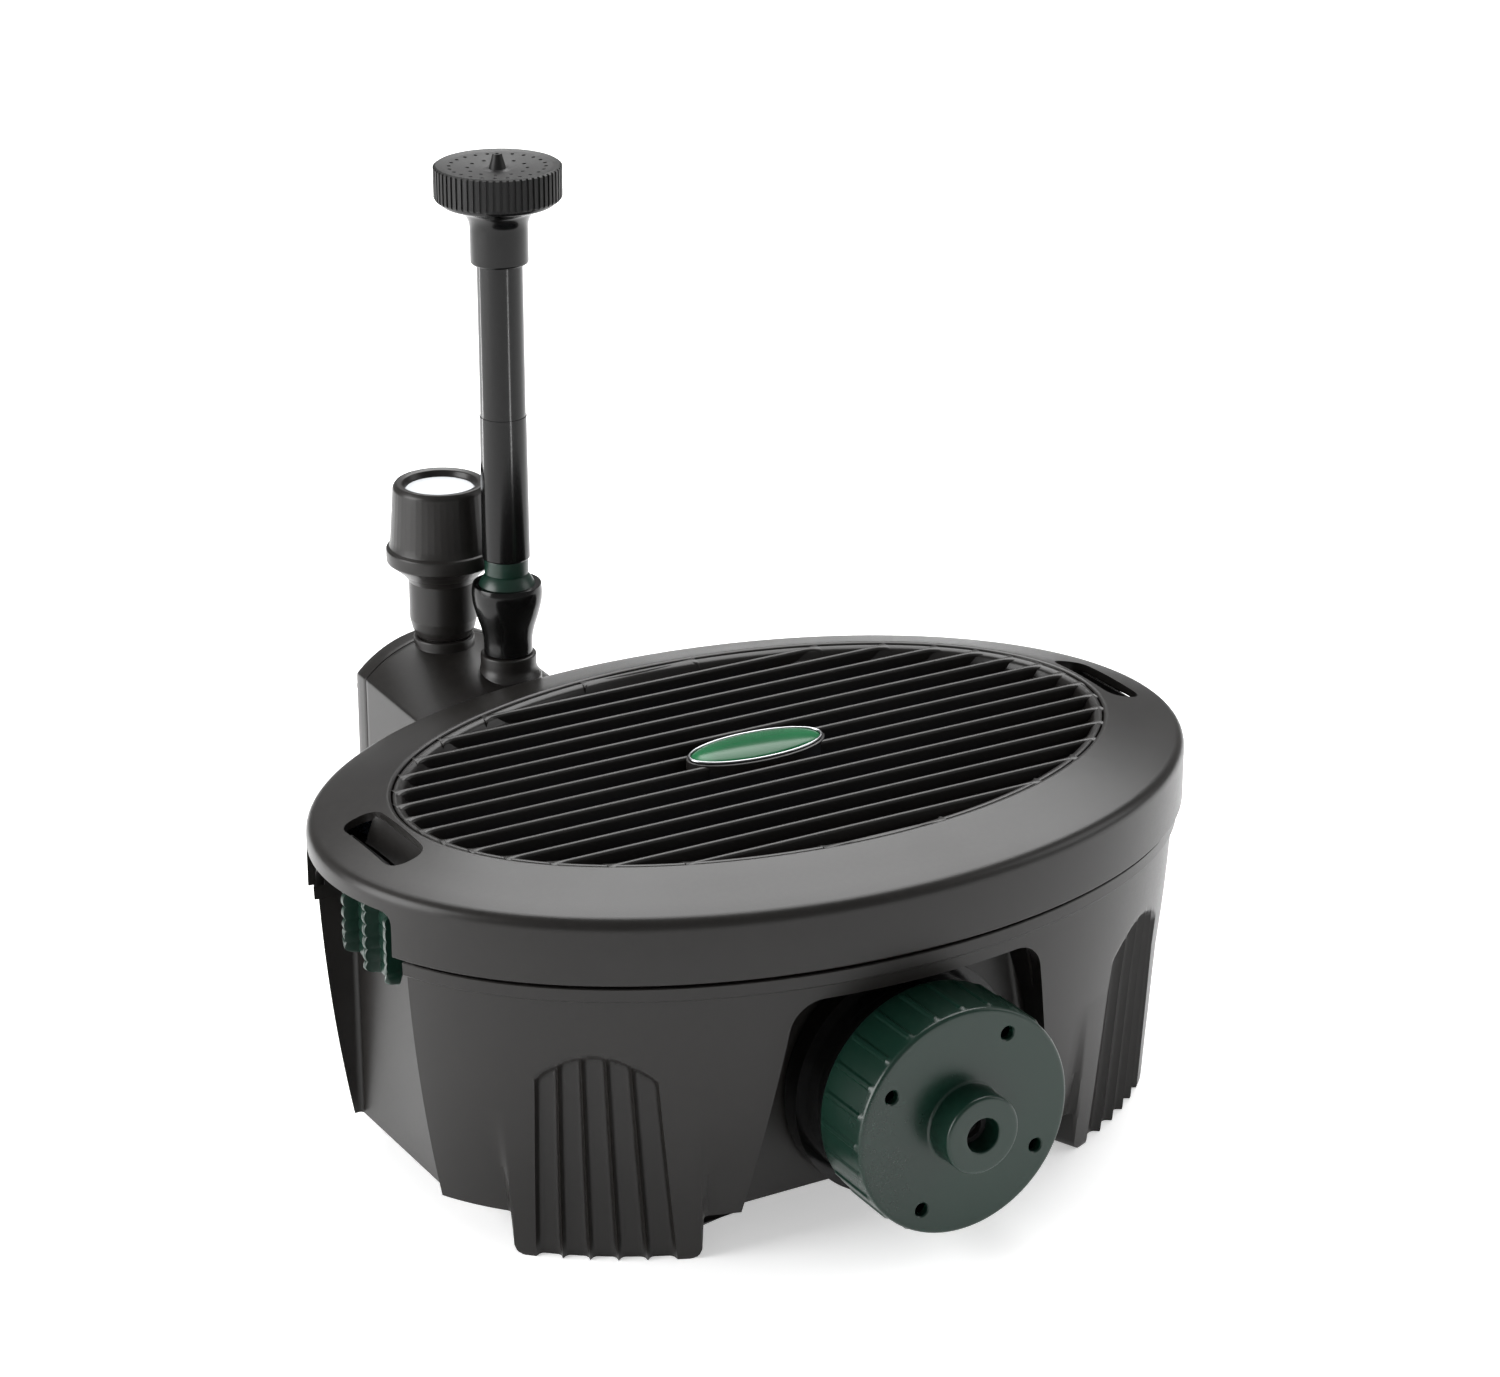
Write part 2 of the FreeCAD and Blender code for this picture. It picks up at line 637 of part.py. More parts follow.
def build_lid_rim():
    """The lid: a skirt and crowned band with a seat for the grille and two finger slots."""
    skin = lid_skin("lid_outside", Size.of(0.0), s.skirt_z)
    ledge_z = s.crown_z - s.slat_tall - 1.5
    keep = oval_stack("ledge_keep", [
        (s.grille_a + 3.0, s.grille_b + 3.0, ledge_z - 2.5),
        (s.grille_a + 3.0, s.grille_b + 3.0, s.crown_z + 10.0)])
    room = cut("lid_room", lid_skin("lid_inside", s.wall, s.skirt_z - 1.0), keep)
    seat = oval_stack("grille_seat", [
        (s.grille_a, s.grille_b, ledge_z), (s.grille_a, s.grille_b, s.crown_z + 10.0)])
    through = oval_stack("grille_through", [
        (s.grille_a - s.ledge, s.grille_b - s.ledge, s.tub_top),
        (s.grille_a - s.ledge, s.grille_b - s.ledge, s.crown_z + 5.0)])
    slots = [finger_slot("slot_right", 1), finger_slot("slot_left", -1)]
    cutouts = [block("cutout_right", (s.slot_x + 11.0, -s.cutout_half, s.skirt_z - 5.0),
                     (FAR, s.cutout_half, s.cutout_z)),
               block("cutout_left", (-FAR, -s.cutout_half, s.skirt_z - 5.0),
                     (-s.slot_x - 11.0, s.cutout_half, s.cutout_z))]
    band = cut("lid_band", skin, room, seat, through)
    chutes = [chute("chute_right", 1), chute("chute_left", -1)]
    whole = fuse("lid_whole", band, *chutes, *pin_lugs())
    return node(cut("lid_part", whole, *cutouts, *slots), "lid_rim")


def build_grille():
    """The grille insert: straight slats on a flat ring, with a boss for the badge."""
    gap = s.grille_gap
    edge = oval_stack("grille_edge", [
        (s.grille_a - gap, s.grille_b - gap, s.crown_z - s.slat_tall - 1.0),
        (s.grille_a - gap, s.grille_b - gap, s.crown_z)])
    slat = new_body("slats")
    first = s.slat_pitch * 7.5
    sketch = outline(slat, "XY_Plane", [
        (-FAR, -first - s.slat_wide / 2), (FAR, -first - s.slat_wide / 2),
        (FAR, -first + s.slat_wide / 2), (-FAR, -first + s.slat_wide / 2)],
        s.crown_z - s.slat_tall)
    one = pad(slat, sketch, s.slat_tall)
    pattern = slat.newObject("PartDesign::LinearPattern", "slat_pattern")
    pattern.Originals = [one]
    pattern.Direction = (next(f for f in slat.Origin.OriginFeatures if f.Role == "Y_Axis"), [""])
    bind(pattern, "Length", s.slat_pitch * 15.0)
    bind(pattern, "Occurrences", s.slat_count)
    slat.Tip = pattern
    blades = common("grille_blades", slat, edge)
    outer = oval_stack("ring_outside", [
        (s.grille_a - gap, s.grille_b - gap, s.crown_z - s.slat_tall - 1.0),
        (s.grille_a - gap, s.grille_b - gap, s.crown_z - s.slat_tall + 2.5)])
    inner = oval_stack("ring_inside", [
        (s.grille_a - 14.0, s.grille_b - 14.0, s.crown_z - 30.0),
        (s.grille_a - 14.0, s.grille_b - 14.0, s.crown_z)])
    boss = oval_stack("badge_boss", [
        (s.badge_a + 2.0, s.badge_b + 2.0, s.crown_z - s.slat_tall),
        (s.badge_a + 2.0, s.badge_b + 2.0, s.crown_z + 0.5)])
    grille = fuse("grille_part", blades, cut("grille_ring", outer, inner), boss)
    return node(grille, "lid_grille")


def build_badge():
    """A plain domed badge and the bright rim round it."""
    base = s.crown_z + 0.5
    dome = oval_stack("badge_dome", [
        (s.badge_a, s.badge_b, base), (s.badge_a - 0.6, s.badge_b - 0.6, base + 1.4),
        (s.badge_a - 4.0, s.badge_b - 3.2, base + 2.6),
        (s.badge_a - 12.0, s.badge_b - 7.0, base + s.badge_tall)])
    rim_out = oval_stack("badge_rim_outside", [
        (s.badge_a + 2.0, s.badge_b + 2.0, base), (s.badge_a + 1.2, s.badge_b + 1.2, base + 1.8)])
    rim_in = oval_stack("badge_rim_inside", [
        (s.badge_a + 0.1, s.badge_b + 0.1, base - 1.0),
        (s.badge_a + 0.1, s.badge_b + 0.1, base + 4.0)])
    node(dome, "badge_dome")
    node(cut("badge_rim_part", rim_out, rim_in), "badge_rim")


def build_clip(side, label):
    """One lid clip: a ribbed plate hung on a pin, with a catch at its back."""
    x = s.clip_x
    profile = [(x - s.clip_thick / 2, s.clip_low + 4.0), (x, s.clip_low)]
    ribs = 6
    face = x + s.clip_thick / 2
    pitch = (s.clip_pin_z - 8.0 - s.clip_low) / ribs
    for i in range(ribs):
        low = s.clip_low + pitch * i
        profile += [(face - 0.4, low + 0.4), (face + 1.6, low + pitch * 0.35),
                    (face + 1.6, low + pitch * 0.7)]
    profile += [(face, s.clip_pin_z - 5.0), (x - s.clip_thick / 2, s.clip_pin_z - 5.0),
                (x - s.clip_thick / 2, s.clip_low + 14.0),
                (x - s.clip_thick / 2 - 3.0, s.clip_low + 11.0),
                (x - s.clip_thick / 2 - 3.0, s.clip_low + 8.0)]
    if side < 0:
        profile = [(-px, pz) for px, pz in reversed(profile)]
    plate = prism(label + "_plate", "XZ_Plane", profile, s.clip_half * 2, both_ways=True)
    knuckles = []
    for i, start in enumerate((-s.clip_half, s.clip_half - 9.0)):
        arm = block(f"{label}_arm_{i}", (x * side - s.clip_thick / 2, start, s.clip_pin_z - 6.0),
                    (x * side + s.clip_thick / 2, start + 9.0, s.clip_pin_z + 0.5))
        barrel = place(cylinder(f"{label}_barrel_{i}", 3.0, 9.0), x * side, start,
                       s.clip_pin_z, FACE_BACK)
        knuckles += [arm, barrel]
    body = fuse(label + "_body", plate, *knuckles)
    bore = place(cylinder(label + "_bore", s.clip_pin_r + s.run, s.clip_half * 2 + 4.0),
                 x * side, -s.clip_half - 2.0, s.clip_pin_z, FACE_BACK)
    return node(cut(label + "_part", body, bore), label)


def build_clip_pins():
    """The two steel pins that the clips swing on."""
    pins = []
    for side, tag in ((1, "right"), (-1, "left")):
        pin = cylinder(f"pin_{tag}", s.clip_pin_r, s.slot_half * 2 + 10.0)
        pins.append(place(pin, s.clip_x * side, -s.slot_half - 5.0, s.clip_pin_z, FACE_BACK))
    return node(group("clip_pin_pair", *pins), "clip_pins")



# ------------------------------------------------------------------ UV unit


def on_uv_axis(thing, front):
    """Stands a turned piece on the UV axis, facing -Y, its local zero at a distance in front."""
    return place(thing, 0, -Size.of(front), s.cap_z, FACE_FRONT)


def build_chamber():
    """The UV chamber: flange and neck outside, a long tube with water slots inside the tub."""
    flange = 1.5 - s.recess_y
    reach = flange + s.chamber_end
    profile = [
        (s.sleeve_r + 6.0, s.neck_face), (s.neck_r, s.neck_face),
        (s.neck_r, s.neck_flange_face), (s.neck_flange_r, s.neck_flange_face),
        (s.neck_flange_r, flange), (s.chamber_r, flange), (s.chamber_r, flange - reach),
        (0.0, flange - reach), (0.0, flange - reach + s.wall),
        (s.chamber_r - s.wall, flange - reach + s.wall),
        (s.chamber_r - s.wall, flange + s.wall), (s.neck_r - s.wall, flange + s.wall + 2.0),
        (s.neck_r - s.wall, s.neck_face - 8.0), (s.sleeve_r + 6.0, s.neck_face - 8.0)]
    body = turned("chamber_body", profile)
    on_uv_axis(body, 0.0)
    slots = []
    for i in range(4):
        slots.append(block(f"chamber_slot_{i}", (-FAR, -86.0 + 12.0 * i, s.cap_z - 4.0),
                           (FAR, -80.0 + 12.0 * i, s.cap_z + 4.0)))
    port = place(cylinder("chamber_port", s.pipe_r - 3.0, 60.0), 0, s.pipe_y, s.cap_z, FACE_LEFT)
    boss = place(cylinder("port_boss", s.pipe_r, 8.0), 2.0 - s.chamber_r, s.pipe_y,
                 s.cap_z, FACE_LEFT)
    boss_body = cut("port_boss_part", boss, place(
        cylinder("port_boss_bore", s.pipe_r - 3.0, 20.0), 4.0 - s.chamber_r, s.pipe_y,
        s.cap_z, FACE_LEFT))
    tube = cut("chamber_part", body, port, *slots)
    return node(fuse("chamber_whole", tube, boss_body), "uv_chamber")


def build_neck_gasket():
    """The flat rubber ring between the neck flange and the tub."""
    gasket = ring("gasket_body", s.neck_flange_r - 2.0, s.chamber_r + s.fit, 1.5)
    on_uv_axis(gasket, -s.recess_y)
    return gasket


def build_uv_inner():
    """The quartz sleeve, its holder and seal, and the twin-tube lamp inside it."""
    flange_r = s.sleeve_r + 16.0
    holder = turned("holder_body", [
        (s.sleeve_r + 0.2, s.neck_face - 12.0), (s.sleeve_r + 5.6, s.neck_face - 12.0),
        (s.sleeve_r + 5.6, s.neck_face + 2.2), (flange_r, s.neck_face + 2.2),
        (flange_r, s.neck_face + 5.0), (s.sleeve_r + 0.2, s.neck_face + 5.0)])
    node(on_uv_axis(holder, 0.0), "sleeve_holder")
    inner = s.sleeve_r - s.sleeve_wall
    sleeve = turned("sleeve_body", [
        (inner, s.neck_face + 2.0), (s.sleeve_r, s.neck_face + 2.0),
        (s.sleeve_r, 6.0 - s.sleeve_end), (s.sleeve_r * 0.7, 1.0 - s.sleeve_end),
        (0.0, -s.sleeve_end), (0.0, s.sleeve_wall - s.sleeve_end),
        (s.sleeve_r * 0.7 - 1.0, s.sleeve_wall + 1.4 - s.sleeve_end),
        (inner, s.sleeve_wall + 6.0 - s.sleeve_end)])
    node(on_uv_axis(sleeve, 0.0), "quartz_sleeve")
    seal = doc.addObject("Part::Torus", "sleeve_seal_body")
    bind(seal, "Radius1", s.sleeve_r + 12.0)
    bind(seal, "Radius2", 1.0)
    node(on_uv_axis(seal, s.neck_face + 1.1), "sleeve_seal")
    base = turned("lamp_base_body", [
        (0.0, s.neck_face - 26.0), (inner - 0.6, s.neck_face - 26.0),
        (inner - 0.6, s.neck_face + 3.0), (0.0, s.neck_face + 3.0)])
    node(on_uv_axis(base, 0.0), "lamp_base")
    length = s.neck_face + s.sleeve_end - 40.0
    tubes = []
    for i, side in enumerate((-1, 1)):
        bar = cylinder(f"lamp_tube_{i}", s.lamp_tube_r, length)
        tubes.append(place(bar, s.lamp_gap * side, 26.0 - s.neck_face, s.cap_z, FACE_BACK))
    bridge = place(cylinder("lamp_bridge", 3.0, s.lamp_gap * 2), -s.lamp_gap,
                   20.0 + length - s.neck_face, s.cap_z, FACE_RIGHT)
    node(fuse("lamp_part", *tubes, bridge), "uv_lamp")


def build_cap():
    """The screw cap: a ribbed skirt, a flat face with four spanner holes and a bored hub."""
    face = s.cap_face
    bore = s.neck_r + 0.35
    body = turned("cap_body", [
        (s.hub_bore, face + s.hub_tall), (s.hub_r - 1.5, face + s.hub_tall),
        (s.hub_r, face + s.hub_tall - 1.5), (s.hub_r, face), (s.cap_r - 2.5, face),
        (s.cap_r - 0.7, face - 0.8), (s.cap_r, face - 2.6), (s.cap_r - 0.6, s.cap_back),
        (bore, s.cap_back), (bore, face - s.cap_wall - 1.0),
        (s.gland_r, face - s.cap_wall - 1.0), (s.gland_r, face + 3.8), (s.hub_bore, face + 3.8)])
    drill_ring(body, s.cap_hole_r, s.cap_hole_pcd, 4.0, 8.0, face + 1.0, 60.3)
    reach = s.cap_r + 0.5
    rib = outline(body, "XY_Plane", [(s.cap_r - 2.0, -1.1), (reach, -1.1), (reach, 1.1),
                                     (s.cap_r - 2.0, 1.1)], s.cap_back + 1.5)
    one = pad(body, rib, face - s.cap_back - 6.0)
    repeat(body, one, s.cap_rib_count)
    node(on_uv_axis(body, 0.0), "uv_cap")
    gland = turned("gland_body", [
        (3.2, face - s.cap_wall - 0.5), (s.gland_r - 0.02, face - s.cap_wall - 0.5),
        (s.gland_r - 0.02, face + 3.78), (5.4, face + 3.78), (5.4, face + 1.0), (3.2, face + 1.0)])
    node(on_uv_axis(gland, 0.0), "cable_gland")


# ------------------------------------------------------------------ pump housing


def arch_outline(body, y, inset):
    """The housing section at a depth: upright sides, a level foot and a round top."""
    share = (y - s.house_front) / (s.seam_y - s.house_front)
    shoulder = s.front_shoulder_z + (s.shoulder_z - s.front_shoulder_z) * share - inset
    top = s.front_arch_z + (s.arch_z - s.front_arch_z) * share - inset
    half = s.house_half - inset
    rise = top - shoulder
    radius = (half * half + rise * rise) / (rise * 2)
    left, right, low = s.house_x - half, s.house_x + half, s.house_low + inset
    sketch = flat_sketch(body, "XZ_Plane", -Size.of(y))
    corners = [(right, shoulder), (right, low), (left, low), (left, shoulder)]
    spots = [Vector(x.value, z.value, 0) for x, z in corners]
    for start, end in zip(spots[:-1], spots[1:]):
        sketch.addGeometry(Part.LineSegment(start, end), False)
    centre = Vector(s.house_x.value, top.value - radius.value, 0)
    sweep = math.asin(half.value / radius.value)
    bow = Part.Circle(centre, Vector(0, 0, 1), radius.value)
    sketch.addGeometry(Part.ArcOfCircle(bow, math.pi / 2 - sweep, math.pi / 2 + sweep), False)
    sketch.addConstraint(Sketcher.Constraint("Coincident", 0, 2, 1, 1))
    sketch.addConstraint(Sketcher.Constraint("Coincident", 1, 2, 2, 1))
    for edge, (x, z) in enumerate(corners[:3]):
        fix_point(sketch, edge, 1, x, z)
    fix_point(sketch, 2, 2, *corners[3])
    sketch.addConstraint(Sketcher.Constraint("Coincident", 3, 1, 0, 1))
    sketch.addConstraint(Sketcher.Constraint("Coincident", 3, 2, 2, 2))
    made = sketch.addConstraint(Sketcher.Constraint("Radius", 3, radius.value))
    sketch.setExpression(f"Constraints[{made}]", radius.text)
    return sketch


def arch_form(name, start, end, inset, end_inset):
    """A loft between two housing sections."""
    body = new_body(name)
    first = arch_outline(body, start, inset)
    last = arch_outline(body, end, end_inset)
    loft = body.newObject("PartDesign::AdditiveLoft", name + "_loft")
    loft.Profile = first
    loft.Sections = [last]
    loft.Ruled = True
    return body


def screw_spots():
    """Where the four housing screws stand, as (x, z) pairs."""
    reach = s.house_half - 6.0
    return [(s.house_x + reach * side, z) for side in (-1, 1)
            for z in (s.house_low + 9.0, s.shoulder_z - 9.0)]


def build_housing():
    """The two shells that hold the pump, with the outlet collar and the spotlight seat."""
    wall = s.shell_wall
    zero = Size.of(0.0)
    clear = oval_stack("lid_clearance", [(s.rim_a + 1.5, s.rim_b + 1.5, s.tub_top - 7.5),
                                         (s.rim_a + 1.5, s.rim_b + 1.5, 240.0)])
    clear_in = oval_stack("lid_clearance_wall", [
        (s.rim_a + 4.0, s.rim_b + 4.0, s.tub_top - 7.5 - wall),
        (s.rim_a + 4.0, s.rim_b + 4.0, 240.0)])
    outside = cut("front_outside", arch_form("front_form", s.house_front, s.seam_y, zero, zero),
                  tub_body("tub_copy", zero, s.floor_z, s.tub_top), clear)
    inside = cut("front_inside", arch_form("front_room", s.house_front - 1.0, s.seam_y + 1.0,
                                           wall, wall), clear_in)
    shell = cut("front_skin", outside, inside)
    collar = place(cylinder("collar", s.collar_r, s.collar_z - 133.0), s.riser_x, s.riser_y, 133.0)
    seat = place(cylinder("spot_seat", s.spot_plug_r + 2.4, s.spot_seat_z - 150.0),
                 s.spot_x, s.spot_y, 150.0)
    bosses = []
    holes = [place(cylinder("collar_bore", s.spigot_r + s.run, 40.0), s.riser_x, s.riser_y, 130.0),
             place(cylinder("seat_bore", s.spot_plug_r + s.run, 40.0), s.spot_x, s.spot_y, 140.0)]
    screws = []
    back_holes = []
    for i, (x, z) in enumerate(screw_spots()):
        boss = cylinder(f"boss_{i}", 4.5, 18.0)
        bosses.append(place(boss, x, s.seam_y, z, FACE_FRONT))
        holes.append(place(cylinder(f"boss_bore_{i}", 1.8, 16.0), x, s.seam_y + 1.0, z, FACE_FRONT))
        back_holes.append(place(cylinder(f"back_bore_{i}", 1.9, 20.0), x, s.house_back + 1.0, z,
                                FACE_FRONT))
        shank = place(cylinder(f"screw_shank_{i}", 1.7, 26.0), x, s.house_back + 0.1, z,
                      FACE_FRONT)
        head = place(cylinder(f"screw_head_{i}", 3.3, 2.2), x, s.house_back + 2.2, z, FACE_FRONT)
        screws.append(fuse(f"screw_{i}", shank, head))
    front = cut("front_part", fuse("front_whole", shell, collar, seat, *bosses), *holes)
    node(front, "housing_front_shell")
    back = cut("back_skin", arch_form("back_form", s.seam_y, s.house_back, zero, Size.of(3.0)),
               arch_form("back_room", s.seam_y - 1.0, s.house_back - wall, wall, wall + 3.0))
    lead_x = s.house_x
    back_holes.append(place(cylinder("lead_hole", 5.0, 20.0), lead_x, s.house_back + 1.0, 38.0,
                            FACE_FRONT))
    back_holes.append(place(cylinder("seat_clearance", s.spot_plug_r + 2.6, 40.0), s.spot_x,
                            s.spot_y, 149.0))
    node(cut("back_part", back, *back_holes), "housing_back_shell")
    node(group("screw_set", *screws), "housing_screws")
    grommet = turned("grommet_body", [
        (2.6, -4.0), (6.6, -4.0), (6.6, -2.6), (4.95, -2.6), (4.95, 0.1), (7.0, 0.1),
        (6.0, 3.0), (2.6, 3.0)])
    node(place(grommet, lead_x, s.house_back, 38.0, FACE_BACK), "lead_grommet")


# ------------------------------------------------------------------ pump


def on_pump_axis(thing, y):
    """Stands a turned piece on the pump axis with its local +Z towards +Y."""
    return place(thing, s.house_x, y, s.cap_z, FACE_BACK)


def build_pump():
    """Volute, motor block, seal, impeller, magnet, shaft and bushes."""
    back = s.volute_wide / 2
    front = -back
    face = s.pump_y + front
    volute = on_pump_axis(cylinder("volute_body", s.volute_r, s.volute_wide - 0.25), face)
    socket = on_pump_axis(cylinder("volute_socket", s.pipe_r + 2.5, 11.5), face - 11.0)
    socket_bore = on_pump_axis(cylinder("socket_bore", s.pipe_r + 0.05, 12.0), face - 12.0)
    inlet = on_pump_axis(cylinder("volute_inlet", s.pipe_bore, 10.0), face - 5.0)
    room = on_pump_axis(cylinder("volute_room", s.volute_r - 2.5, s.volute_wide), face + 2.5)
    outlet_tall = 141.0 - s.cap_z
    outlet = place(cylinder("outlet", s.spigot_r, outlet_tall), s.riser_x, s.riser_y, s.cap_z)
    outlet_bore = place(cylinder("outlet_bore", s.spigot_r - 2.0, outlet_tall), s.riser_x,
                        s.riser_y, s.cap_z + 1.0)
    spider = [block(f"spider_{i}", low, high) for i, (low, high) in enumerate((
        ((s.house_x - s.pipe_bore - 1.0, s.pump_y + front, s.cap_z - 1.0),
         (s.house_x - 3.6, s.pump_y + front + 2.5, s.cap_z + 1.0)),
        ((s.house_x + 3.6, s.pump_y + front, s.cap_z - 1.0),
         (s.house_x + s.pipe_bore + 1.0, s.pump_y + front + 2.5, s.cap_z + 1.0))))]
    eye = on_pump_axis(ring("spider_eye", 4.2, 3.0, 2.5), s.pump_y + front)
    hollow = cut("volute_hollow", fuse("volute_whole", volute, socket, outlet), outlet_bore,
                 room, socket_bore, inlet)
    node(fuse("volute_part", hollow, eye, *spider), "pump_volute")
    seal = on_pump_axis(ring("volute_seal_body", s.volute_r - 0.5, s.volute_r - 2.5, 0.5),
                        s.pump_y + back - 0.25)
    node(seal, "volute_seal")
    can = s.rotor_r + 1.2
    motor = turned("motor_body", [
        (can, back + 0.25), (s.volute_r, back + 0.25), (s.volute_r, back + 35.5),
        (s.volute_r - 3.0, back + 38.5), (0.0, back + 38.5), (0.0, back + 35.0),
        (3.0, back + 35.0), (3.0, back + 33.0), (can, back + 33.0)])
    node(on_pump_axis(motor, s.pump_y), "pump_motor")
    shaft = cylinder("shaft_body", s.shaft_r, s.volute_wide + 34.6)
    node(on_pump_axis(shaft, s.pump_y + front + 0.3), "rotor_shaft")
    bushes = [on_pump_axis(ring("bush_front", 2.98, s.shaft_r + 0.02, 2.5), s.pump_y + front),
              on_pump_axis(ring("bush_back", 2.98, s.shaft_r + 0.02, 1.9),
                           s.pump_y + back + 33.05)]
    node(group("bush_pair", *bushes), "shaft_bushes")
    bore = s.shaft_r + s.run
    impeller = turned("impeller_body", [
        (bore, front + 5.0), (5.0, front + 5.0), (5.0, back - 4.5), (s.impeller_r, back - 4.5),
        (s.impeller_r, back - 3.0), (3.0, back - 3.0), (3.0, back + 31.5), (bore, back + 31.5)])
    vane = outline(impeller, "XY_Plane", [(4.5, -0.8), (s.impeller_r - 0.5, -0.8),
                                          (s.impeller_r - 0.5, 0.8), (4.5, 0.8)], front + 6.0)
    repeat(impeller, pad(impeller, vane, s.volute_wide - 10.0), 6.0)
    node(on_pump_axis(impeller, s.pump_y), "impeller")
    magnet = ring("magnet_body", s.rotor_r, 3.02, 27.0)
    node(on_pump_axis(magnet, s.pump_y + back + 3.0), "rotor_magnet")


def build_suction_pipe():
    """The bent pipe from the UV chamber to the pump, its union nut and its wall grommet."""
    start = -s.chamber_r - 6.0
    bore = s.pipe_bore

    def run_of_pipe(tag, radius):
        across = place(cylinder(f"pipe_across_{tag}", radius, start - s.house_x), start,
                       s.pipe_y, s.cap_z, FACE_LEFT)
        corner = place(ball(f"pipe_corner_{tag}", radius), s.house_x, s.pipe_y, s.cap_z)
        along = place(cylinder(f"pipe_along_{tag}", radius,
                               s.pump_y - s.volute_wide / 2 - 0.5 - s.pipe_y), s.house_x,
                      s.pipe_y, s.cap_z, FACE_BACK)
        return fuse(f"pipe_{tag}", across, corner, along)

    node(cut("pipe_part", run_of_pipe("outside", s.pipe_r), run_of_pipe("inside", bore)),
         "suction_pipe")
    nut = ring("union_nut_body", s.pipe_r + 3.5, s.pipe_r + 0.1, 10.0)
    node(place(nut, start + 5.0, s.pipe_y, s.cap_z, FACE_LEFT), "union_nut")
    grommet = ring("wall_grommet_body", s.pipe_r + 1.9, s.pipe_r + 0.05, 11.2)
    node(place(grommet, s.house_x, 120.0, s.cap_z, FACE_BACK), "wall_grommet")


# ------------------------------------------------------------------ media


def media_outline(name, low, high, grow):
    """The level oval that fits inside the tub, clear of its notches and recess."""
    oval = oval_stack(name + "_oval", [(s.top_a - 9.0, s.top_b - 9.0, low),
                                       (s.top_a - 9.0, s.top_b - 9.0, high)])
    return cut(name, oval, *end_notches(name + "_notch", s.wall + grow),
               front_recess(name + "_recess", s.wall + grow))


def build_media():
    """The media tray on its legs, the two foams above it and the bio balls below."""
    gap = s.foam_gap
    plate = media_outline("tray_plate", s.tray_z - s.tray_thick, s.tray_z, gap)
    slots = [block(f"tray_slot_{i}", (20.0 * i - 3.0, -78.0, 0.0), (20.0 * i + 3.0, 95.0, FAR))
             for i in range(-7, 8)]
    legs = []
    for i, (x, y) in enumerate(((-66.0, -50.0), (66.0, -50.0), (-66.0, 50.0), (66.0, 50.0))):
        leg = cylinder(f"tray_leg_{i}", 4.5, s.tray_z - s.tray_thick - s.floor_z - s.wall)
        legs.append(place(leg, x, y, s.floor_z + s.wall))
    node(fuse("tray_part", cut("tray_slotted", plate, *slots), *legs), "media_tray")
    node(media_outline("fine_part", s.tray_z + 0.3, s.foam_split, gap), "fine_foam")
    node(media_outline("coarse_part", s.foam_split + 0.3, s.foam_top, gap), "coarse_foam")
    balls = []
    pitch = s.bioball_r * 2 + 1.0
    for side in (-1, 1):
        for column in range(3):
            for row in range(-2, 3):
                bead = ball(f"bioball_{len(balls)}", s.bioball_r)
                balls.append(place(bead, (pitch * column + 88.0) * side, pitch * row,
                                   s.floor_z + s.wall + s.bioball_r + 0.3))
    node(group("bioball_set", *balls), "bio_balls")


# ------------------------------------------------------------------ riser and fountain


def on_riser(thing, z=0.0):
    """Stands a piece on the riser axis."""
    return place(thing, s.riser_x, s.riser_y, z)


def build_swivel():
    """The cup that turns in the collar, and the ball and neck that tilt in it."""
    rim = s.cup_rim_z
    cup = on_riser(turned("cup_body", [
        (6.5, s.collar_z - 22.0), (s.spigot_r, s.collar_z - 22.0), (s.spigot_r, s.collar_z + 0.3),
        (s.cup_low_r, s.collar_z + 0.3), (s.cup_low_r, s.collar_z + 7.0),
        (s.cup_low_r + 0.9, s.collar_z + 12.0), (s.cup_rim_r - 1.6, rim - 14.0),
        (s.cup_rim_r - 0.2, rim - 8.0), (s.cup_rim_r, rim - 3.0), (s.cup_rim_r - 0.5, rim),
        (6.5, rim)]))
    seat = on_riser(ball("cup_seat", s.ball_r + s.run), s.ball_z)
    node(cut("cup_part", cup, seat), "swivel_cup")
    sphere = on_riser(ball("ball_body", s.ball_r), s.ball_z)
    neck = on_riser(turned("ball_neck", [
        (0.0, s.ball_z), (s.ball_neck_r, s.ball_z), (s.ball_neck_r, s.tube_low - 0.05),
        (s.tube_bore - 0.05, s.tube_low - 0.05), (s.tube_bore - 0.05, s.tube_low + 14.0),
        (0.0, s.tube_low + 14.0)]))
    bore = on_riser(cylinder("ball_bore", 6.0, 80.0), s.ball_z - 30.0)
    node(cut("ball_part", fuse("ball_whole", sphere, neck), bore), "ball_joint")


def build_tubes():
    """The lower tube, and the upper tube whose spigot pushes into it."""
    lower = on_riser(turned("lower_body", [
        (s.tube_bore, s.tube_low), (s.tube_low_r - 0.3, s.tube_low),
        (s.tube_low_r, s.tube_low + 0.6), (s.tube_r + 0.1, s.tube_split),
        (s.tube_bore, s.tube_split)]))
    node(lower, "lower_tube")
    spigot = s.tube_bore - s.run
    upper = on_riser(turned("upper_body", [
        (6.4, s.tube_split - 24.0), (spigot, s.tube_split - 24.0), (spigot, s.tube_split + 0.1),
        (s.tube_r - 0.2, s.tube_split + 0.1), (s.tube_r - 0.2, s.nozzle_low + 12.0),
        (6.4, s.nozzle_low + 12.0)]))
    node(upper, "upper_tube")


